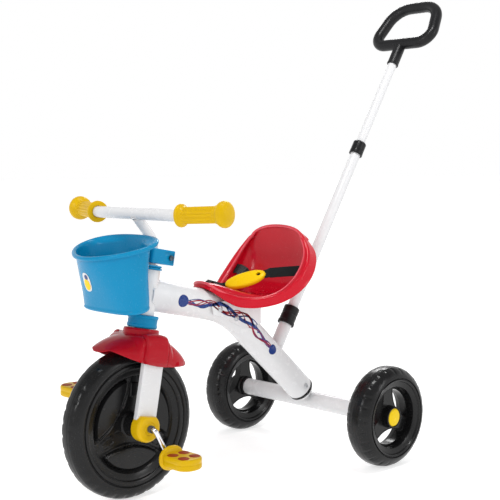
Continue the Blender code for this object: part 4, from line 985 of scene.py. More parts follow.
# ---------------------------------------------------------------- belt
STRAP_W, STRAP_T = 20.5, 1.6
BUCKLE_A = Vector((-246.5, -18.0, 345.2))
BUCKLE_B = Vector((-300.5, 36.0, 368.3))
BUCKLE_C = (BUCKLE_A + BUCKLE_B) / 2
B_LEN = (BUCKLE_B - BUCKLE_A).length
B_X = (BUCKLE_B - BUCKLE_A).normalized()
B_Z = (Vector((0.44, 0.44, 0.78)) - B_X * B_X.dot(Vector((0.44, 0.44, 0.78)))).normalized()
B_Y = B_Z.cross(B_X)
buckle_m = frame_matrix(BUCKLE_C, B_Z, B_X)
rings = []
for z, inset in ((-5.2, 4.5), (-5.0, 2.6), (-4.0, 1.0), (-2.2, 0.2), (-0.4, 0.0), (-0.1, 0.5), (0.1, 0.5), (0.4, 0.0), (2.2, 0.3),
                 (3.6, 1.2), (4.5, 2.8), (4.9, 5.5), (5.2, 9.5), (5.3, 13.8)):
    rings.append([Vector((x * MM, y * MM, z * MM)) for x, y in superellipse(B_LEN / 2 - inset, 17.0 - inset, 0.96, 64)])
buckle = piece("buckle_body", pillow_bm(rings, buckle_m), [YELLOW_B], "frame", ["belt_buckle"], slot="yellow_plastic", smooth=45)
hole_m = frame_matrix(BUCKLE_C + B_X * (B_LEN / 2 - 13.0), B_Z)
cut(buckle, [cutter(lathe_bm([(0.0, 9.0), (4.3, 9.0), (4.3, -1.5), (0.0, -1.5)], 40, False, None, None, hole_m))])
buckle.data.shade_smooth()
buckle.data.set_sharp_from_angle(angle=math.radians(40))
lathe("buckle_button", [(0.0, 1.6), (3.4, 1.5), (4.15, 0.8), (4.15, -1.4), (0.0, -1.4)], hole_m, BLACK, "frame", (), 0.4, 3, 40,
      closed=False)


def strap(name, node, centre, across, width=STRAP_W):
    """Webbing through points in mm, with thickness, soft edges and UV in metres."""
    n = len(centre)
    dense_c, dense_a = [], []
    for i in range(n - 1):
        k = max(2, math.ceil((centre[i + 1] - centre[i]).length / 1.6))
        p0, p1, p2, p3 = centre[max(0, i - 1)], centre[i], centre[i + 1], centre[min(n - 1, i + 2)]
        for j in range(k):
            w = j / k
            m1, m2 = (p2 - p0) * 0.5, (p3 - p1) * 0.5
            lim = (p2 - p1).length
            m1 = m1 * min(1.0, lim / max(1e-6, m1.length))
            m2 = m2 * min(1.0, lim / max(1e-6, m2.length))
            dense_c.append(p1 * (2 * w**3 - 3 * w**2 + 1) + m1 * (w**3 - 2 * w**2 + w)
                           + p2 * (-2 * w**3 + 3 * w**2) + m2 * (w**3 - w**2))
            dense_a.append(across[i].lerp(across[i + 1], w).normalized())
    dense_c.append(centre[-1])
    dense_a.append(across[-1].normalized())
    m = len(dense_c)
    nv = 12
    bm = bmesh.new()
    uv = bm.loops.layers.uv.verify()
    prof = []
    for j in range(nv + 1):
        x = -1.0 + 2.0 * j / nv
        prof.append((x, 0.5 * (1.0 - 0.25 * abs(x) ** 8)))
    prof = prof + [(1.012, 0.0)] + [(x, -t) for x, t in reversed(prof)] + [(-1.012, 0.0)]
    rows_, along = [], []
    length = 0.0
    for i in range(m):
        t = (dense_c[min(m - 1, i + 1)] - dense_c[max(0, i - 1)]).normalized()
        a = (dense_a[i] - t * dense_a[i].dot(t)).normalized()
        nn = t.cross(a)
        if i:
            length += (dense_c[i] - dense_c[i - 1]).length
        ripple = 0.35 * math.sin(length / 9.0) + 0.2 * math.sin(length / 3.7 + 1.0)
        row = []
        for x, tt in prof:
            row.append(bm.verts.new(world(dense_c[i] + a * (x * width / 2) + nn * (tt * STRAP_T + ripple * x * x * 0.5))))
        rows_.append(row)
        along.append(length * MM)
    k = len(prof)
    for i in range(m - 1):
        for j in range(k):
            q = (j + 1) % k
            f = bm.faces.new((rows_[i][j], rows_[i][q], rows_[i + 1][q], rows_[i + 1][j]))
            va, vb = prof[j][0] * width / 2 * MM, prof[q][0] * width / 2 * MM
            for lp, c in zip(f.loops, ((along[i], va), (along[i], vb), (along[i + 1], vb), (along[i + 1], va))):
                lp[uv].uv = (c[0] + 1.0, c[1] + 1.0)
    bm.faces.new(rows_[0])
    bm.faces.new(rows_[-1])
    bmesh.ops.recalc_face_normals(bm, faces=bm.faces)
    return piece(name, bm, WEB, "frame", [node], smooth=60)


def slot_mark(name, p, n, across, w=STRAP_W + 3.0, h=4.6):
    """Dark mouth of the opening that a strap passes through."""
    m = frame_matrix(p + n * 0.05, n, across)
    bm = block_bm(w / 2, h / 2, 0.35, 2.2, 0.3, m, None, 6, 2)
    return piece(name, bm, [SHADOW], "frame", (), slot="red_plastic", smooth=40)


ends = {}
for key, p, d in (("left", BUCKLE_B - B_X * 3.5, B_X), ("right", BUCKLE_C + B_X * 1.0 + B_Y * 12.0, B_Y),
                  ("crotch", BUCKLE_A + B_X * 5.0, -B_X)):
    ends[key] = (p + B_Z * (1.5 if key == "crotch" else -1.2), d)
for side, sgn, t_slot, v_slot in (("left", 1.0, 0.712, 0.90), ("right", -1.0, 0.675, -0.955)):
    p, n, dt, dv = wall_frame(t_slot, v_slot)
    slot_mark(f"slot_{side}", p, n, dt)
    q, d = ends[side]
    across_b = d.cross(B_Z)
    if across_b.dot(dt) < 0:
        across_b = -across_b
    pts = fillet_path([p - n * 8.0, p + n * 9.0, q + d * 10.0, q + d * 0.3], [5.0, 7.0], 5)
    across = [dt.lerp(across_b, max(0.0, min(1.0, (i - 5.5) / 5.0))) for i in range(len(pts))]
    strap(f"strap_{side}", f"belt_strap_{side}", pts, across)
p, n, dt, dv = wall_frame(t_at(-190.0), 0.0)
slot_mark("slot_crotch", p, n, LEFT, 18.0)
q, d = ends["crotch"]
run = [wall_frame(t_at(x), v) for x, v in ((-200.0, -0.08), (-212.0, -0.24))]
end_across = d.cross(B_Z) * (1.0 if d.cross(B_Z).y > 0 else -1.0)
pts = [p - n * 9.0, p + n * 1.0] + [r[0] + r[1] * h for r, h in zip(run, (2.6, 5.5))] + [q + d * 9.0, q + d * 0.3]
across = [LEFT.lerp(end_across, w) for w in (0.0, 0.0, 0.1, 0.5, 1.0, 1.0)]
strap("strap_crotch", "crotch_strap", pts, across, 15.0)


# ---------------------------------------------------------------- wheels
def lens_distance(x, y, r_out, r_in, half):
    """How far a point is inside (positive) an opening centred on +X."""
    px, py = r_out * math.cos(half), r_out * math.sin(half)
    c = (r_out * r_out - r_in * r_in) / (2 * (px - r_in))
    rad = c - r_in
    return min(r_out - math.hypot(x, y), rad - math.hypot(x - c, y))


def wheel_piece(name, node, body, centre, flip, R, W, rnd, r_step, r_lip, r_dish, web, r_hub, hub_top, hub_bottom, bore,
                spoke_deg, r_out, r_in, pocket, rib, treads, n=240):
    h = W / 2
    sg_side = -1.0 if flip else 1.0
    m = frame_matrix(centre, LEFT)
    half = math.radians(47.0)
    centres = [-(math.radians(spoke_deg) + math.radians(60.0 + 120.0 * k)) for k in range(3)]
    spokes = [-(math.radians(spoke_deg) + math.radians(120.0 * k)) for k in range(3)]

    def side(sg, hub):
        """Half profile from the bore out to the crown."""
        pts = [(bore, sg * hub), (r_hub - 1.5, sg * hub), (r_hub, sg * (hub - 1.5)), (r_hub + 0.8, sg * min(web + 2.5, hub - 2.0)),
               (r_hub + 3.4, sg * web)]
        pts = rounded(pts, 1.2, 3, False)
        steps = 40
        for k in range(1, steps):
            pts.append((r_hub + 3.4 + (r_dish - 3.0 - r_hub - 3.4) * k / steps, sg * web))
        tail = [(r_dish - 3.0, sg * web), (r_dish, sg * (h - 7.5)), (r_lip - 3.5, sg * (h - 5.2)), (r_lip, sg * (h - 4.2)),
                (r_lip + 1.2, sg * (h - 1.4)), (r_lip + 4.0, sg * (h - 0.3)), (r_step - 1.6, sg * (h - 0.3)),
                (r_step - 0.6, sg * (h - 3.0)), (r_step + 0.6, sg * (h - 3.0)), (r_step + 1.8, sg * (h - 0.6))]
        pts += rounded(tail, 1.4, 3, False)
        k0 = 14
        for k in range(k0 + 1):
            a = math.pi / 2 * k / k0
            z = h - rnd + rnd * math.cos(a)
            r = R - rnd + rnd * math.sin(a)
            if r > r_step + 2.2:
                pts.append((r, sg * z))
        flat = h - rnd
        for k in range(1, 3):
            pts.append((R, sg * flat * (1 - k / 3)))
        return pts

    top = side(1.0, hub_top)
    low = side(-1.0, hub_bottom)
    prof = top + low[::-1]

    def warp(r, a, z):
        zz = z
        if r_hub + 1.0 < r < r_dish - 1.0 and abs(z) <= web + 3.0:
            best = -99.0
            for c in centres:
                x, y = r * math.cos(a - c), r * math.sin(a - c)
                if x > 0:
                    best = max(best, lens_distance(x, y, r_out, r_in, half))
            dz = -pocket * smoothstep(-0.4, 2.6 if pocket > 3 else 2.0, best)
            if rib:
                dz += rib * math.exp(-((best + 3.2) / 2.4) ** 2) * smoothstep(r_hub + 3.0, r_hub + 12.0, r)
                for c in spokes:
                    x, y = r * math.cos(a - c), r * math.sin(a - c)
                    if x > 0:
                        dz += 2.6 * smoothstep(46.0, 48.0, x) * (1 - smoothstep(70.0, 73.0, x)) * (
                            1 - smoothstep(6.0, 8.0, abs(y)))
            zz = z + math.copysign(dz, z)
        rr = r
        if r > r_step + 4.0 and treads:
            az = abs(z) / h
            # nicks across each shoulder, in pairs, and a shallow centre groove
            ph = (a * treads / (2 * math.pi) + (0.5 if z < 0 else 0.0)) % 1.0
            nick = max(math.exp(-((ph - 0.42 - 0.10 * az) / 0.045) ** 2), math.exp(-((ph - 0.58 - 0.10 * az) / 0.045) ** 2))
            zone = smoothstep(0.30, 0.42, az) * (1 - smoothstep(0.80, 0.92, az))
            dr = 1.5 * nick * zone + 0.8 * math.exp(-((az - 0.24) / 0.035) ** 2)
            rr = r - dr * (r - (R - rnd)) / max(1e-6, math.hypot(r - (R - rnd), z * 0.6))
            zz = z - dr * 0.4 * (z / h)
        return rr, sg_side * zz

    bm = lathe_bm(prof, n, True, warp, None, m)
    obj = piece(name, bm, TYRE, body, [node], smooth=50)
    if pocket < 3:
        cutters = []
        for c in centres:
            outline = []
            steps = 26
            px, py = r_out * math.cos(half), r_out * math.sin(half)
            cc = (r_out * r_out - r_in * r_in) / (2 * (px - r_in))
            rad = cc - r_in
            inset = 1.6
            ro, rd = r_out - inset, rad - inset
            # where the two arcs meet after the inset
            xm = (ro * ro - rd * rd + cc * cc) / (2 * cc)
            ym = math.sqrt(max(0.0, ro * ro - xm * xm))
            hm = math.atan2(ym, xm)
            for k in range(steps + 1):
                b = -hm + 2 * hm * k / steps
                outline.append((ro * math.cos(b), ro * math.sin(b)))
            a1 = math.atan2(ym, cc - xm)
            for k in range(1, steps):
                b = a1 - 2 * a1 * k / steps
                outline.append((cc - rd * math.cos(b), rd * math.sin(b)))
            outline = rounded(outline, 2.2, 3, True)
            rot = Matrix.Rotation(c, 4, "Z")
            rings_ = [[rot @ Vector((x * MM, y * MM, z * MM)) for x, y in outline] for z in (-14.0, 14.0)]
            cutters.append(cutter(pillow_bm(rings_, m)))
        cut(obj, cutters)
        obj.data.shade_smooth()
        obj.data.set_sharp_from_angle(angle=math.radians(40))
    return obj


wheel_piece("front_tyre", "front_wheel", "front_wheel_and_crank", HUB, False, 130.0, 47.0, 20.0, 106.0, 96.0, 85.0, 9.0, 19.0,
            35.5, 35.5, 4.6, -24.0, 79.0, 38.0, 7.4, 3.4, 34)
for side, sgn in (("left", 1.0), ("right", -1.0)):
    c = REAR_AXLE + LEFT * (sgn * 197.0)
    wheel_piece(f"rear_tyre_{side}", f"rear_wheel_{side}", f"{side}_rear_wheel", c, sgn < 0, 95.0, 57.0, 24.0, 74.0, 68.0, 58.5,
                7.0, 17.0, 9.0, 14.8, 5.4, -33.0 if sgn > 0 else -30.0, 54.5, 23.5, 1.1, 0.0, 26)
    m = frame_matrix(c, (0.0, sgn, 0.0))
    lathe(f"rear_cap_shell_{side}", [(0.0, 22.4), (6.0, 22.3), (12.0, 21.9), (15.4, 21.2), (16.9, 20.0), (16.9, 9.6),
                                     (15.5, 9.6), (15.5, 18.6), (0.0, 20.0)], m, CAP_YELLOW,
          f"{side}_rear_wheel", [f"rear_hub_cap_{side}"], 0.5, 3, 64, closed=False, slot="yellow_plastic")
    lathe(f"rear_hub_ring_{side}", [(17.1, 9.0), (17.1, 20.4), (17.9, 21.8), (19.2, 21.8), (20.2, 20.6), (20.6, 12.0), (21.6, 8.0),
                                    (21.6, 6.0), (17.1, 6.0)], m, TYRE, f"{side}_rear_wheel", (), 0.5, 3, 64)

# ---------------------------------------------------------------- crank, pedals
CRANK_ANGLE = math.radians(244.0)
crank = Vector((math.cos(CRANK_ANGLE), 0.0, math.sin(CRANK_ANGLE))) * 50.0
path = [HUB - crank - LEFT * 146.0, HUB - crank - LEFT * 77.5, HUB - LEFT * 74.0, HUB + LEFT * 74.0,
        HUB + crank + LEFT * 77.5, HUB + crank + LEFT * 146.0]
crank_path = densify(fillet_path(path, [6.5] * 4, 10), 12.0)
bm = sweep_bm(crank_path, 4.2, 28, hint=Vector((1.0, 0.0, 0.0)), edge=0.8)
piece("crank_rod", bm, CHROME, "front_wheel_and_crank", ["crank_axle"], smooth=50)
for side, sgn in (("left", 1.0), ("right", -1.0)):
    c = HUB + crank * sgn + LEFT * (sgn * 117.25)
    m = Matrix.Translation(world(c))
    rings = []
    AX, AY = 25.0, 34.75
    stack = [(-12.5, 4.2), (-12.2, 2.0), (-11.2, 0.7), (-9.6, 0.0), (-3.6, 0.0), (-3.0, 0.5), (-1.6, 0.5), (-1.0, 0.0), (3.6, 0.0),
             (5.6, 0.6), (6.6, 1.9), (6.9, 4.0)]
    for z, inset in stack:
        rings.append([Vector((x * MM, y * MM, z * MM)) for x, y in round_rect(AX - inset, AY + 1.0 - inset, 23.0 - inset, 16)])
    bm = pillow_bm(rings, m)
    # domed end plate towards the crank
    end_rings = []
    for yy, k in ((-5.4, 0.55), (-5.2, 0.72), (-4.4, 0.87), (-2.6, 0.97), (-0.4, 1.0), (2.0, 0.985), (4.0, 0.93), (5.6, 0.82), (6.6, 0.66),
                  (7.0, 0.5)):
        end_rings.append([Vector((x * k * MM, (sgn * (-28.6 + yy)) * MM, (-3.0 + z * k) * MM)) for x, z in
                          superellipse(25.5, 21.0, 0.92, 56)])
    pillow_bm(end_rings, m, bm)
    count = len(bm.faces)
    # four inlaid rounds on the tread
    for ox, oy in ((-10.9, -10.8), (12.9, -10.8), (-10.9, 16.9), (12.9, 16.9)):
        ox, oy = ox - 1.0, sgn * (oy + 0.8)
        ring0 = [Vector(((ox + x) * MM, (oy + y) * MM, 6.4 * MM)) for x, y in superellipse(9.5, 9.9, 1.0, 40)]
        ring1 = [Vector(((ox + x * 0.98) * MM, (oy + y * 0.98) * MM, 7.25 * MM)) for x, y in superellipse(9.5, 9.9, 1.0, 40)]
        ring2 = [Vector(((ox + x * 0.90) * MM, (oy + y * 0.90) * MM, 7.45 * MM)) for x, y in superellipse(9.5, 9.9, 1.0, 40)]
        pillow_bm([ring0, ring1, ring2], m, bm)
    bm.faces.ensure_lookup_table()
    for face in bm.faces[count:]:
        face.material_index = 1
    piece(f"pedal_body_{side}", bm, [YELLOW, ORANGE], f"{side}_pedal", [f"pedal_{side}"], smooth=40)
    lathe(f"pedal_boss_{side}", [(4.9, -34.2), (8.2, -34.2), (9.0, -33.4), (9.0, -30.0), (4.9, -30.0)],
          frame_matrix(c, (0.0, sgn, 0.0)), GREY, f"{side}_pedal", (), 0.5, 3, 40)

# ---------------------------------------------------------------- fork
lathe("steerer_shell", [(12.7, 277.5), (12.7, 142.3), (9.6, 142.3), (9.6, 277.5)], AXIS_M, WHITE, "steering", ["steerer_tube"],
      0.3, 2, 56)
W2 = 21.0
for side, sgn in (("left", 1.0), ("right", -1.0)):
    y0, y1 = 38.0, 48.0
    section = [(-W2, y0), (-W2, y1), (W2, y1), (W2, y0), (W2 - 2.4, y0), (W2 - 2.4, y1 - 2.6), (-W2 + 2.4, y1 - 2.6),
               (-W2 + 2.4, y0)]
    section = rounded(section, 2.4, 4, True)
    leg_m = frame_matrix(on_axis(62.5), AXIS)
    rings = [[Vector((x * MM, sgn * y * MM, z * MM)) for x, y in section] for z in (-73.2, -72.8, -40.0, 0.0, 40.0, 72.8, 73.2)]
    piece(f"fork_leg_shell_{side}", pillow_bm(rings, leg_m), WHITE, "steering", [f"fork_leg_{side}"], smooth=40)
    m = frame_matrix(HUB, (0.0, sgn, 0.0))

    def flat_top(r, a, z, sgn=sgn):
        up = -math.cos(a) * math.sin(RAKE) - sgn * math.sin(a) * math.cos(RAKE)
        return (min(r, 19.6 / up) if up > 0.1 else r), z

    lathe(f"hub_cover_shell_{side}", [(4.7, 60.0), (9.5, 60.0), (10.0, 59.2), (11.0, 59.2), (11.5, 60.0), (17.0, 60.0), (20.4, 59.4),
                                      (22.8, 57.6), (24.2, 54.4), (24.4, 50.0), (24.4, 38.6), (23.2, 37.2), (4.7, 37.2)], m,
          YELLOW, "steering", [f"hub_cover_{side}"], 0.7, 3, 96, warp=flat_top)
    lathe(f"spacer_shell_{side}", [(6.2, 67.5), (6.2, 60.3), (4.7, 60.3), (4.7, 67.5)], m, GREY, "steering",
          [f"crank_spacer_{side}"], 0.4, 2, 40)


# ---------------------------------------------------------------- fender
def fender_point(u, v):
    q = -3.0 + (91.0 if u > 0 else 94.0) * u
    a = abs(u) * 0.992
    w = 52.4 * (1.0 - 0.05 * a * a) * math.sqrt(max(0.0, 1.0 - a**3.0))
    w = max(w, 4.0)
    top = math.sqrt(157.5**2 - q**2) - 12.0 * (q / 90.0) ** 2
    lo = 104.8 + (0.0020 if q > -16.0 else 0.0011) * (q + 16.0) ** 2
    lo = min(lo, top - 1.5)
    ang = abs(v) * math.pi / 2
    boxy = smoothstep(0.0, 1.0, max(0.0, min(1.0, (40.0 - abs(q)) / 16.0)))
    n = 2.0 / (2.5 + 3.0 * boxy)
    y = w * math.sin(ang) ** n
    s = lo + (top - lo) * max(0.0, math.cos(ang)) ** n
    # raised cover over the fork leg, with its edges, and a soft ridge ahead of it
    panel = smoothstep(23.4, 22.2, abs(q + 0.5)) * smoothstep(0.16, 0.26, abs(v))
    ridge = math.exp(-((q - 33.0) / 4.5) ** 2) * smoothstep(0.18, 0.4, abs(v)) * (1 - smoothstep(0.8, 0.98, abs(v)))
    groove = math.exp(-((q - 26.5) / 2.2) ** 2) * smoothstep(0.3, 0.4, abs(v))
    edge = math.exp(-((abs(q + 0.5) - 24.6) / 1.0) ** 2) * smoothstep(0.16, 0.26, abs(v))
    y += 3.0 * panel - 1.8 * edge + 1.2 * ridge - 1.0 * groove
    s += (3.2 * panel - 1.8 * edge) * (1 - smoothstep(0.45, 0.75, abs(v)))
    return on_axis(s, q, math.copysign(y, v) if v else 0.0)


FU, FV = 150, 72
f_rows = [[fender_point(-1.0 + 2.0 * i / FU, -1.0 + 2.0 * j / FV) for j in range(FV + 1)] for i in range(FU + 1)]
bm = bmesh.new()
vv = [[bm.verts.new(world(p)) for p in row] for row in f_rows]
for a, b in zip(vv, vv[1:]):
    for j in range(FV):
        bm.faces.new((a[j], b[j], b[j + 1], a[j + 1]))
bmesh.ops.recalc_face_normals(bm, faces=bm.faces)
top_face = max(bm.faces, key=lambda f: f.calc_center_median().z)
if top_face.normal.z < 0:
    bmesh.ops.reverse_faces(bm, faces=bm.faces)
# the fender and its collar take the darker copy of the red plastic: painted shade
fender = piece("fender_shell", bm, FENDER_RED_SHADE_PAINT, "steering", ["fender"], slot="red_plastic", smooth=60)
sol = fender.modifiers.new("wall", "SOLIDIFY")
sol.thickness = 2.4 * MM
sol.offset = -1.0
lathe("fender_collar", [(13.2, 165.2), (28.8, 165.2), (30.6, 164.2), (31.4, 162.0), (31.4, 155.0), (32.6, 153.6), (33.6, 148.0),
                        (33.6, 143.0), (13.2, 143.0)], AXIS_M, FENDER_RED_SHADE_PAINT, "steering", (), 1.0, 4, 80, slot="red_plastic")

# ---------------------------------------------------------------- clamp, stem, bar, grips, basket clip
bm = block_bm(26.0, 18.5, 13.0, 5.0, 1.6, frame_matrix(on_axis(292.5, -13.0), AXIS))
clamp = piece("clamp_body", bm, BLUE, "steering", ["stem_clamp"], smooth=40)
# recessed panel on each side and the slit behind the stem
for sgn in (1.0, -1.0):
    mm = frame_matrix(on_axis(292.5, -24.0, sgn * 18.7), (0.0, sgn, 0.0), FWD)
    cut(clamp, [cutter(block_bm(10.5, 9.2, 1.4, 2.0, 0.4, mm, None, 5, 2))])
cut(clamp, [cutter(block_bm(7.0, 1.3, 30.0, 0.5, 0.2, frame_matrix(on_axis(292.5, -36.0), AXIS), None, 3, 1))])
clamp.data.shade_smooth()
clamp.data.set_sharp_from_angle(angle=math.radians(35))
cb_m = frame_matrix(on_axis(292.5, -29.0), LEFT)
lathe("clamp_bolt_shell", [(0.0, 20.9), (1.7, 20.9), (2.0, 22.0), (2.6, 21.9), (4.5, 20.8), (4.9, 18.0), (2.5, 18.0), (2.5, -21.0),
                           (0.0, -21.0)], cb_m, DARK_STEEL, "steering", ["clamp_bolt"], 0.3, 3, 40, closed=False, slot="zinc_steel")
bm = block_bm(10.2, 13.0, 7.5, 2.6, 1.2, frame_matrix(on_axis(292.5, 23.6), AXIS))
piece("basket_clip_body", bm, BLUE, "steering", ["basket_clip"], smooth=40)

BAR_C = Vector((-26.5, 0.0, 490.6))
bar_path = densify(fillet_path([BAR_C + Vector((-22.5, -203.0, 4.4)), BAR_C + Vector((0.3, -110.0, 0.4)),
                                BAR_C + Vector((0.3, 110.0, 0.4)), BAR_C + Vector((-22.5, 203.0, 4.4))], [70.0, 70.0], 10), 10.0)
piece("bar_shell", sweep_bm(bar_path, 10.2, 48, hint=UP, edge=0.4, bore=8.7), WHITE, "steering", ["handlebar"], smooth=45)
stem_path = densify(fillet_path([on_axis(205.0), on_axis(318.0), Vector((-27.3, 0.0, 484.0))], [32.0], 16), 8.0)
piece("stem_shell", sweep_bm(stem_path, 9.0, 48, edge=0.4), WHITE, "steering", ["handlebar_stem"], smooth=45)
ring_pts = []
d_st = (stem_path[-1] - stem_path[-2]).normalized()
bar_mid = BAR_C + Vector((0.3, 0.0, 0.4))
sx = (LEFT.cross(d_st)).normalized()
for k in range(40):
    a = 2 * math.pi * k / 40
    base = stem_path[-1] - d_st * 30.0 + LEFT * (9.0 * math.cos(a)) + sx * (9.0 * math.sin(a))
    t = hit_cylinder(base, d_st, bar_mid, LEFT, 10.3)
    ring_pts.append(base + d_st * t)
piece("weld_stem", sweep_bm(ring_pts, lambda i: 1.25 + 0.2 * math.sin(i * 2.2), 10, cyclic=True), WHITE, "steering", smooth=70)
for side, sgn in (("left", 1.0), ("right", -1.0)):
    inner_p = BAR_C + Vector((0.3, sgn * 110.0, 0.4))
    outer_p = BAR_C + Vector((-22.5, sgn * 203.0, 4.4))
    d = (outer_p - inner_p).normalized()
    prof = [(0.0, 8.0), (6.0, 7.7), (12.0, 7.0), (14.6, 6.3), (15.2, 5.6), (16.0, 5.5), (18.5, 4.0), (20.8, 1.2), (22.0, -2.0),
            (21.8, -6.0), (20.5, -9.5), (17.6, -12.6), (15.6, -14.4), (15.6, -17.8), (14.2, -18.6)]
    prof += [(14.2, -18.6 - 2.4 * k) for k in range(1, 27)]
    prof += [(14.4, -82.4), (16.0, -84.4), (19.0, -86.5), (19.6, -88.6), (19.0, -91.8), (10.7, -91.8), (10.7, 0.6), (0.0, 0.6)]

    def ribs(r, a, z):
        """Ribs along the held part."""
        held = smoothstep(-18.2, -20.5, z) * (1 - smoothstep(-80.0, -82.0, z)) if 12.0 < r < 14.3 else 0.0
        return r - 1.3 * held * (0.5 - 0.5 * math.cos(18 * a)) ** 0.7, z

    lathe(f"grip_shell_{side}", prof, frame_matrix(outer_p, d), YELLOW, "steering", [f"grip_{side}"], 0.5, 2, 144, closed=False,
          warp=ribs, smooth=50)

# ---------------------------------------------------------------- basket
B_RIM = dict(xc=30.3, zc=438.8, ax=60.2, ay=89.5, slope=-0.27, nf=1.80, nb=2.35, egg=-0.13)
B_LOW = dict(xc=17.0, zc=329.6, ax=31.5, ay=74.0, slope=-0.12, nf=2.8, nb=2.5, egg=0.10)


def basket_ring(k, grow=0.0, drop=0.0, n=112):
    b = {key: B_LOW[key] + (B_RIM[key] - B_LOW[key]) * k for key in B_RIM}
    pts = []
    for i in range(n):
        ph = 2 * math.pi * (i + 0.5) / n
        c, s = math.cos(ph), math.sin(ph)
        nn = b["nf"] if c > 0 else b["nb"]
        x = (b["ax"] + grow) * math.copysign(abs(c) ** (2 / nn), c)
        y = (b["ay"] + grow) * math.copysign(abs(s) ** (2 / nn), s)
        y *= 1 + b["egg"] * x / b["ax"]
        pts.append(Vector((b["xc"] + x, y, b["zc"] + b["slope"] * x - drop)))
    return pts


WALL = 2.2
grow_table = [(0.0, -0.6), (0.03, -0.6), (0.3, -3.8), (0.65, -5.3), (0.95, -6.2), (1.0, -6.2)]


def body_ring(k, grow):
    """Side wall of the basket: drawn in at its rear corners below the rim."""
    f = smoothstep(0.15, 0.7, k) * (1 - smoothstep(0.945, 0.985, k))
    out = []
    for p in basket_ring(k, grow):
        b = {key: B_LOW[key] + (B_RIM[key] - B_LOW[key]) * k for key in B_RIM}
        c = (p.x - b["xc"]) / b["ax"]
        sy = p.y / b["ay"]
        w = smoothstep(-0.15, -0.75, c) * smoothstep(0.15, 0.6, abs(sy)) if c < 0 else 0.0
        out.append(Vector((p.x + 5.0 * w * f, p.y - math.copysign(8.0 * w * f, p.y), p.z)))
    return out


outer = [basket_ring(0.0, -12.0), basket_ring(0.0, -6.5), basket_ring(0.002, -3.6, -0.3), basket_ring(0.01, -1.9, 0.0),
         basket_ring(0.022, -0.6), basket_ring(0.04, 0.2), basket_ring(0.056, -0.2), basket_ring(0.066, -1.2)]
for i in range(1, 30):
    k = 0.08 + 0.88 * i / 30
    outer.append(body_ring(k, lerp_table(grow_table, k)[0]))
outer += [body_ring(0.950, -6.0), basket_ring(0.956, -5.2, 0.0), basket_ring(0.948, -2.4, 0.0), basket_ring(0.945, -0.6, 0.0),
          basket_ring(0.955, 0.2), basket_ring(0.975, 0.4), basket_ring(0.992, 0.1, 0.0), basket_ring(1.0, -0.8, -0.2),
          basket_ring(1.0, -2.6, -0.9), basket_ring(1.0, -4.8, -0.9), basket_ring(1.0, -6.6, -0.2), basket_ring(0.99, -7.8, 0.0)]
inner = []
for i in range(30, 0, -1):
    k = 0.05 + 0.92 * i / 30
    inner.append(body_ring(k, lerp_table(grow_table, k)[0] - WALL))
inner += [basket_ring(0.03, -4.4), basket_ring(0.022, -7.0), basket_ring(0.02, -12.0)]
rings = [[world(p) for p in r] for r in outer + inner]
basket = piece("basket_shell", pillow_bm(rings), BLUE, "steering", ["basket"], smooth=50)


def basket_patch(name, k0, k1, a0, a1, lift, mat, squash):
    """Stuck-on patch with a generic rounded outline on the side of the basket."""
    n_u, n_v = 14, 14
    grid = []
    for i in range(n_u + 1):
        k = k0 + (k1 - k0) * i / n_u
        ring = body_ring(k, lerp_table(grow_table, k)[0] + lift)
        row = []
        for j in range(n_v + 1):
            u, v = 0.99 * (-1.0 + 2.0 * i / n_u), -1.0 + 2.0 * j / n_v
            edge_ = (1.0 - abs(u) ** squash) ** (1.0 / squash)
            pos = a0 + (a1 - a0) * (0.5 + 0.5 * v * edge_)
            q = math.floor(pos)
            row.append(ring[q % len(ring)].lerp(ring[(q + 1) % len(ring)], pos - q))
        grid.append(row)
    bm_ = bmesh.new()
    vs = [[bm_.verts.new(world(p)) for p in row] for row in grid]
    for r0, r1 in zip(vs, vs[1:]):
        for j in range(n_v):
            bm_.faces.new((r0[j], r0[j + 1], r1[j + 1], r1[j]))
    return piece(name, bm_, [mat], "steering", slot="blue_plastic", smooth=60)


basket_patch("basket_patch_ground", 0.36, 0.69, -7.6, -2.2, 0.5, WHITE, 3.0)
basket_patch("basket_patch_figure", 0.38, 0.58, -6.9, -2.8, 0.9, YELLOW_B, 2.0)
basket_patch("basket_patch_spot", 0.57, 0.66, -5.6, -3.2, 0.9, INK_BLUE, 2.0)


# ---------------------------------------------------------------- fasteners
def dome_bolt(name, node, m, prof_end, r_head, z_seat, z_top, body="frame"):
    """Button-head screw with a round socket."""
    prof = [(0.0, z_top - 1.5), (1.5, z_top - 1.5), (1.7, z_top - 0.1), (2.4, z_top - 0.15), (r_head * 0.8, z_top - 1.2),
            (r_head, z_seat + 0.6), (r_head, z_seat), (2.9, z_seat), (2.9, prof_end), (0.0, prof_end)]
    return lathe(name, prof, m, STEEL, body, [node], 0.3, 3, 40, closed=False)


for tag, pos in (("front", Vector((-189.0, 0.0, 311.5))), ("rear", Vector((-229.0, 0.0, 290.5)))):
    dome_bolt(f"seat_bolt_shell_{tag}", f"seat_bolt_{tag}", frame_matrix(pos, LEFT), -39.0, 5.4, 31.9, 34.8)
dome_bolt("stub_bolt_shell", "stub_bolt", frame_matrix(MAIN_END - MAIN_DIR * 12.0, LEFT), -33.5, 5.0, 26.9, 29.6)

# low seat screws, their heads painted like the seat
for tag, x in (("front", -299.0), ("rear", -327.0)):
    seat_screw = lathe(f"seat_screw_shell_{tag}", [(0.0, 0.9), (1.6, 0.9), (1.9, 2.0), (3.0, 1.9), (4.6, 1.3), (5.3, 0.4), (5.3, -0.2),
                                                   (2.4, -0.2), (2.4, -14.5), (0.0, -14.5)],
                       frame_matrix(Vector((x, 0.0, seat_point(t_at(x), 0.0).z)), UP), [RED, STEEL], "frame",
                       [f"seat_screw_{tag}"], 0.3, 3, 40, closed=False, slot="zinc_steel")
    floor_z = world((x, 0.0, seat_point(t_at(x), 0.0).z)).z
    for face in seat_screw.data.polygons:
        if face.center.z < floor_z - 0.002:
            face.material_index = 1

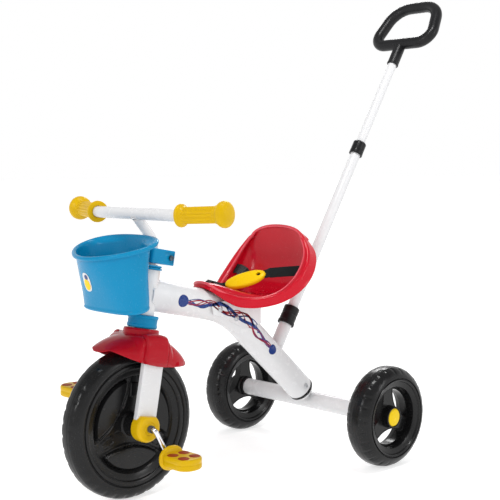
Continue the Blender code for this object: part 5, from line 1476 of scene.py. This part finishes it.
# CAD nodes that keep their shape: materials, and softer edges on the pressed and nutted parts
for name, obj in frame["nodes"].items():
    slot_name = None
    for mat in obj.data.materials:
        if mat:
            slot_name = mat.name.split(".")[0]
    for key, mat in SLOT_NAMES.items():
        if slot_name == key:
            for i in range(len(obj.data.materials)):
                obj.material_slots[i].material = mat
for name, width in (("seat_bracket", 0.9), ("fork_crown", 1.2), ("seat_nut_front", 0.4), ("seat_nut_rear", 0.4),
                    ("stub_nut", 0.4)):
    soften(frame["nodes"][name], width, 3, 30.0)

# ---------------------------------------------------------------- floor and light
bm = bmesh.new()
bmesh.ops.create_grid(bm, x_segments=1, y_segments=1, size=30.0)
me = bpy.data.meshes.new("studio_floor")
bm.to_mesh(me)
bm.free()
floor = bpy.data.objects.new("studio_floor", me)
bpy.context.scene.collection.objects.link(floor)
fm, nt, b = nodes_of("studio_floor")
tc = nt.nodes.new("ShaderNodeTexCoord").outputs["Object"]
link(nt, ramp(nt, noise(nt, tc, 3.0, 2.0), [(0.0, 0.70), (1.0, 0.74)]), b.inputs["Base Color"])
b.inputs["Emission Color"].default_value = (1.0, 1.0, 1.0, 1.0)
b.inputs["Emission Strength"].default_value = 0.62
b.inputs["Roughness"].default_value = 0.9
b.inputs["Specular IOR Level"].default_value = 0.1
me.materials.append(fm)

sky = bpy.data.worlds.new("studio")
bpy.context.scene.world = sky
sky.use_nodes = True
wt = sky.node_tree
sep = wt.nodes.new("ShaderNodeSeparateXYZ")
wt.links.new(wt.nodes.new("ShaderNodeTexCoord").outputs["Generated"], sep.inputs[0])
up_ramp = wt.nodes.new("ShaderNodeValToRGB")
el = up_ramp.color_ramp.elements
el.new(0.5)
for e, (pos, c) in zip(el, ((0.0, 1.0), (0.30, 1.0), (0.62, 0.42))):
    e.position = pos
    e.color = (c, c, c, 1.0)
wt.links.new(sep.outputs[2], up_ramp.inputs["Fac"])
wt.links.new(up_ramp.outputs["Color"], wt.nodes["Background"].inputs["Color"])
wt.nodes["Background"].inputs["Strength"].default_value = 1.0


def softbox(name, place, aim, size, power):
    la = bpy.data.lights.new(name, "AREA")
    la.shape = "RECTANGLE"
    la.size, la.size_y = size
    la.energy = power
    ob = bpy.data.objects.new(name, la)
    bpy.context.scene.collection.objects.link(ob)
    ob.location = place
    ob.rotation_euler = (Vector(aim) - Vector(place)).to_track_quat("-Z", "Y").to_euler()
    return ob


softbox("light_over", (0.25, 0.45, 2.2), (0.0, 0.0, 0.3), (0.5, 0.34), 17.0)
softbox("light_left", (2.3, 0.3, 1.4), (0.1, 0.0, 0.3), (0.3, 0.9), 10.0)
softbox("light_right", (-1.0, 2.3, 1.2), (-0.1, 0.0, 0.3), (0.3, 1.1), 7.0)
softbox("light_back", (-1.7, -1.4, 1.75), (0.0, 0.0, 0.35), (0.9, 0.5), 14.0)

bpy.context.scene.view_settings.view_transform = "Standard"
bpy.context.scene.view_settings.look = "None"
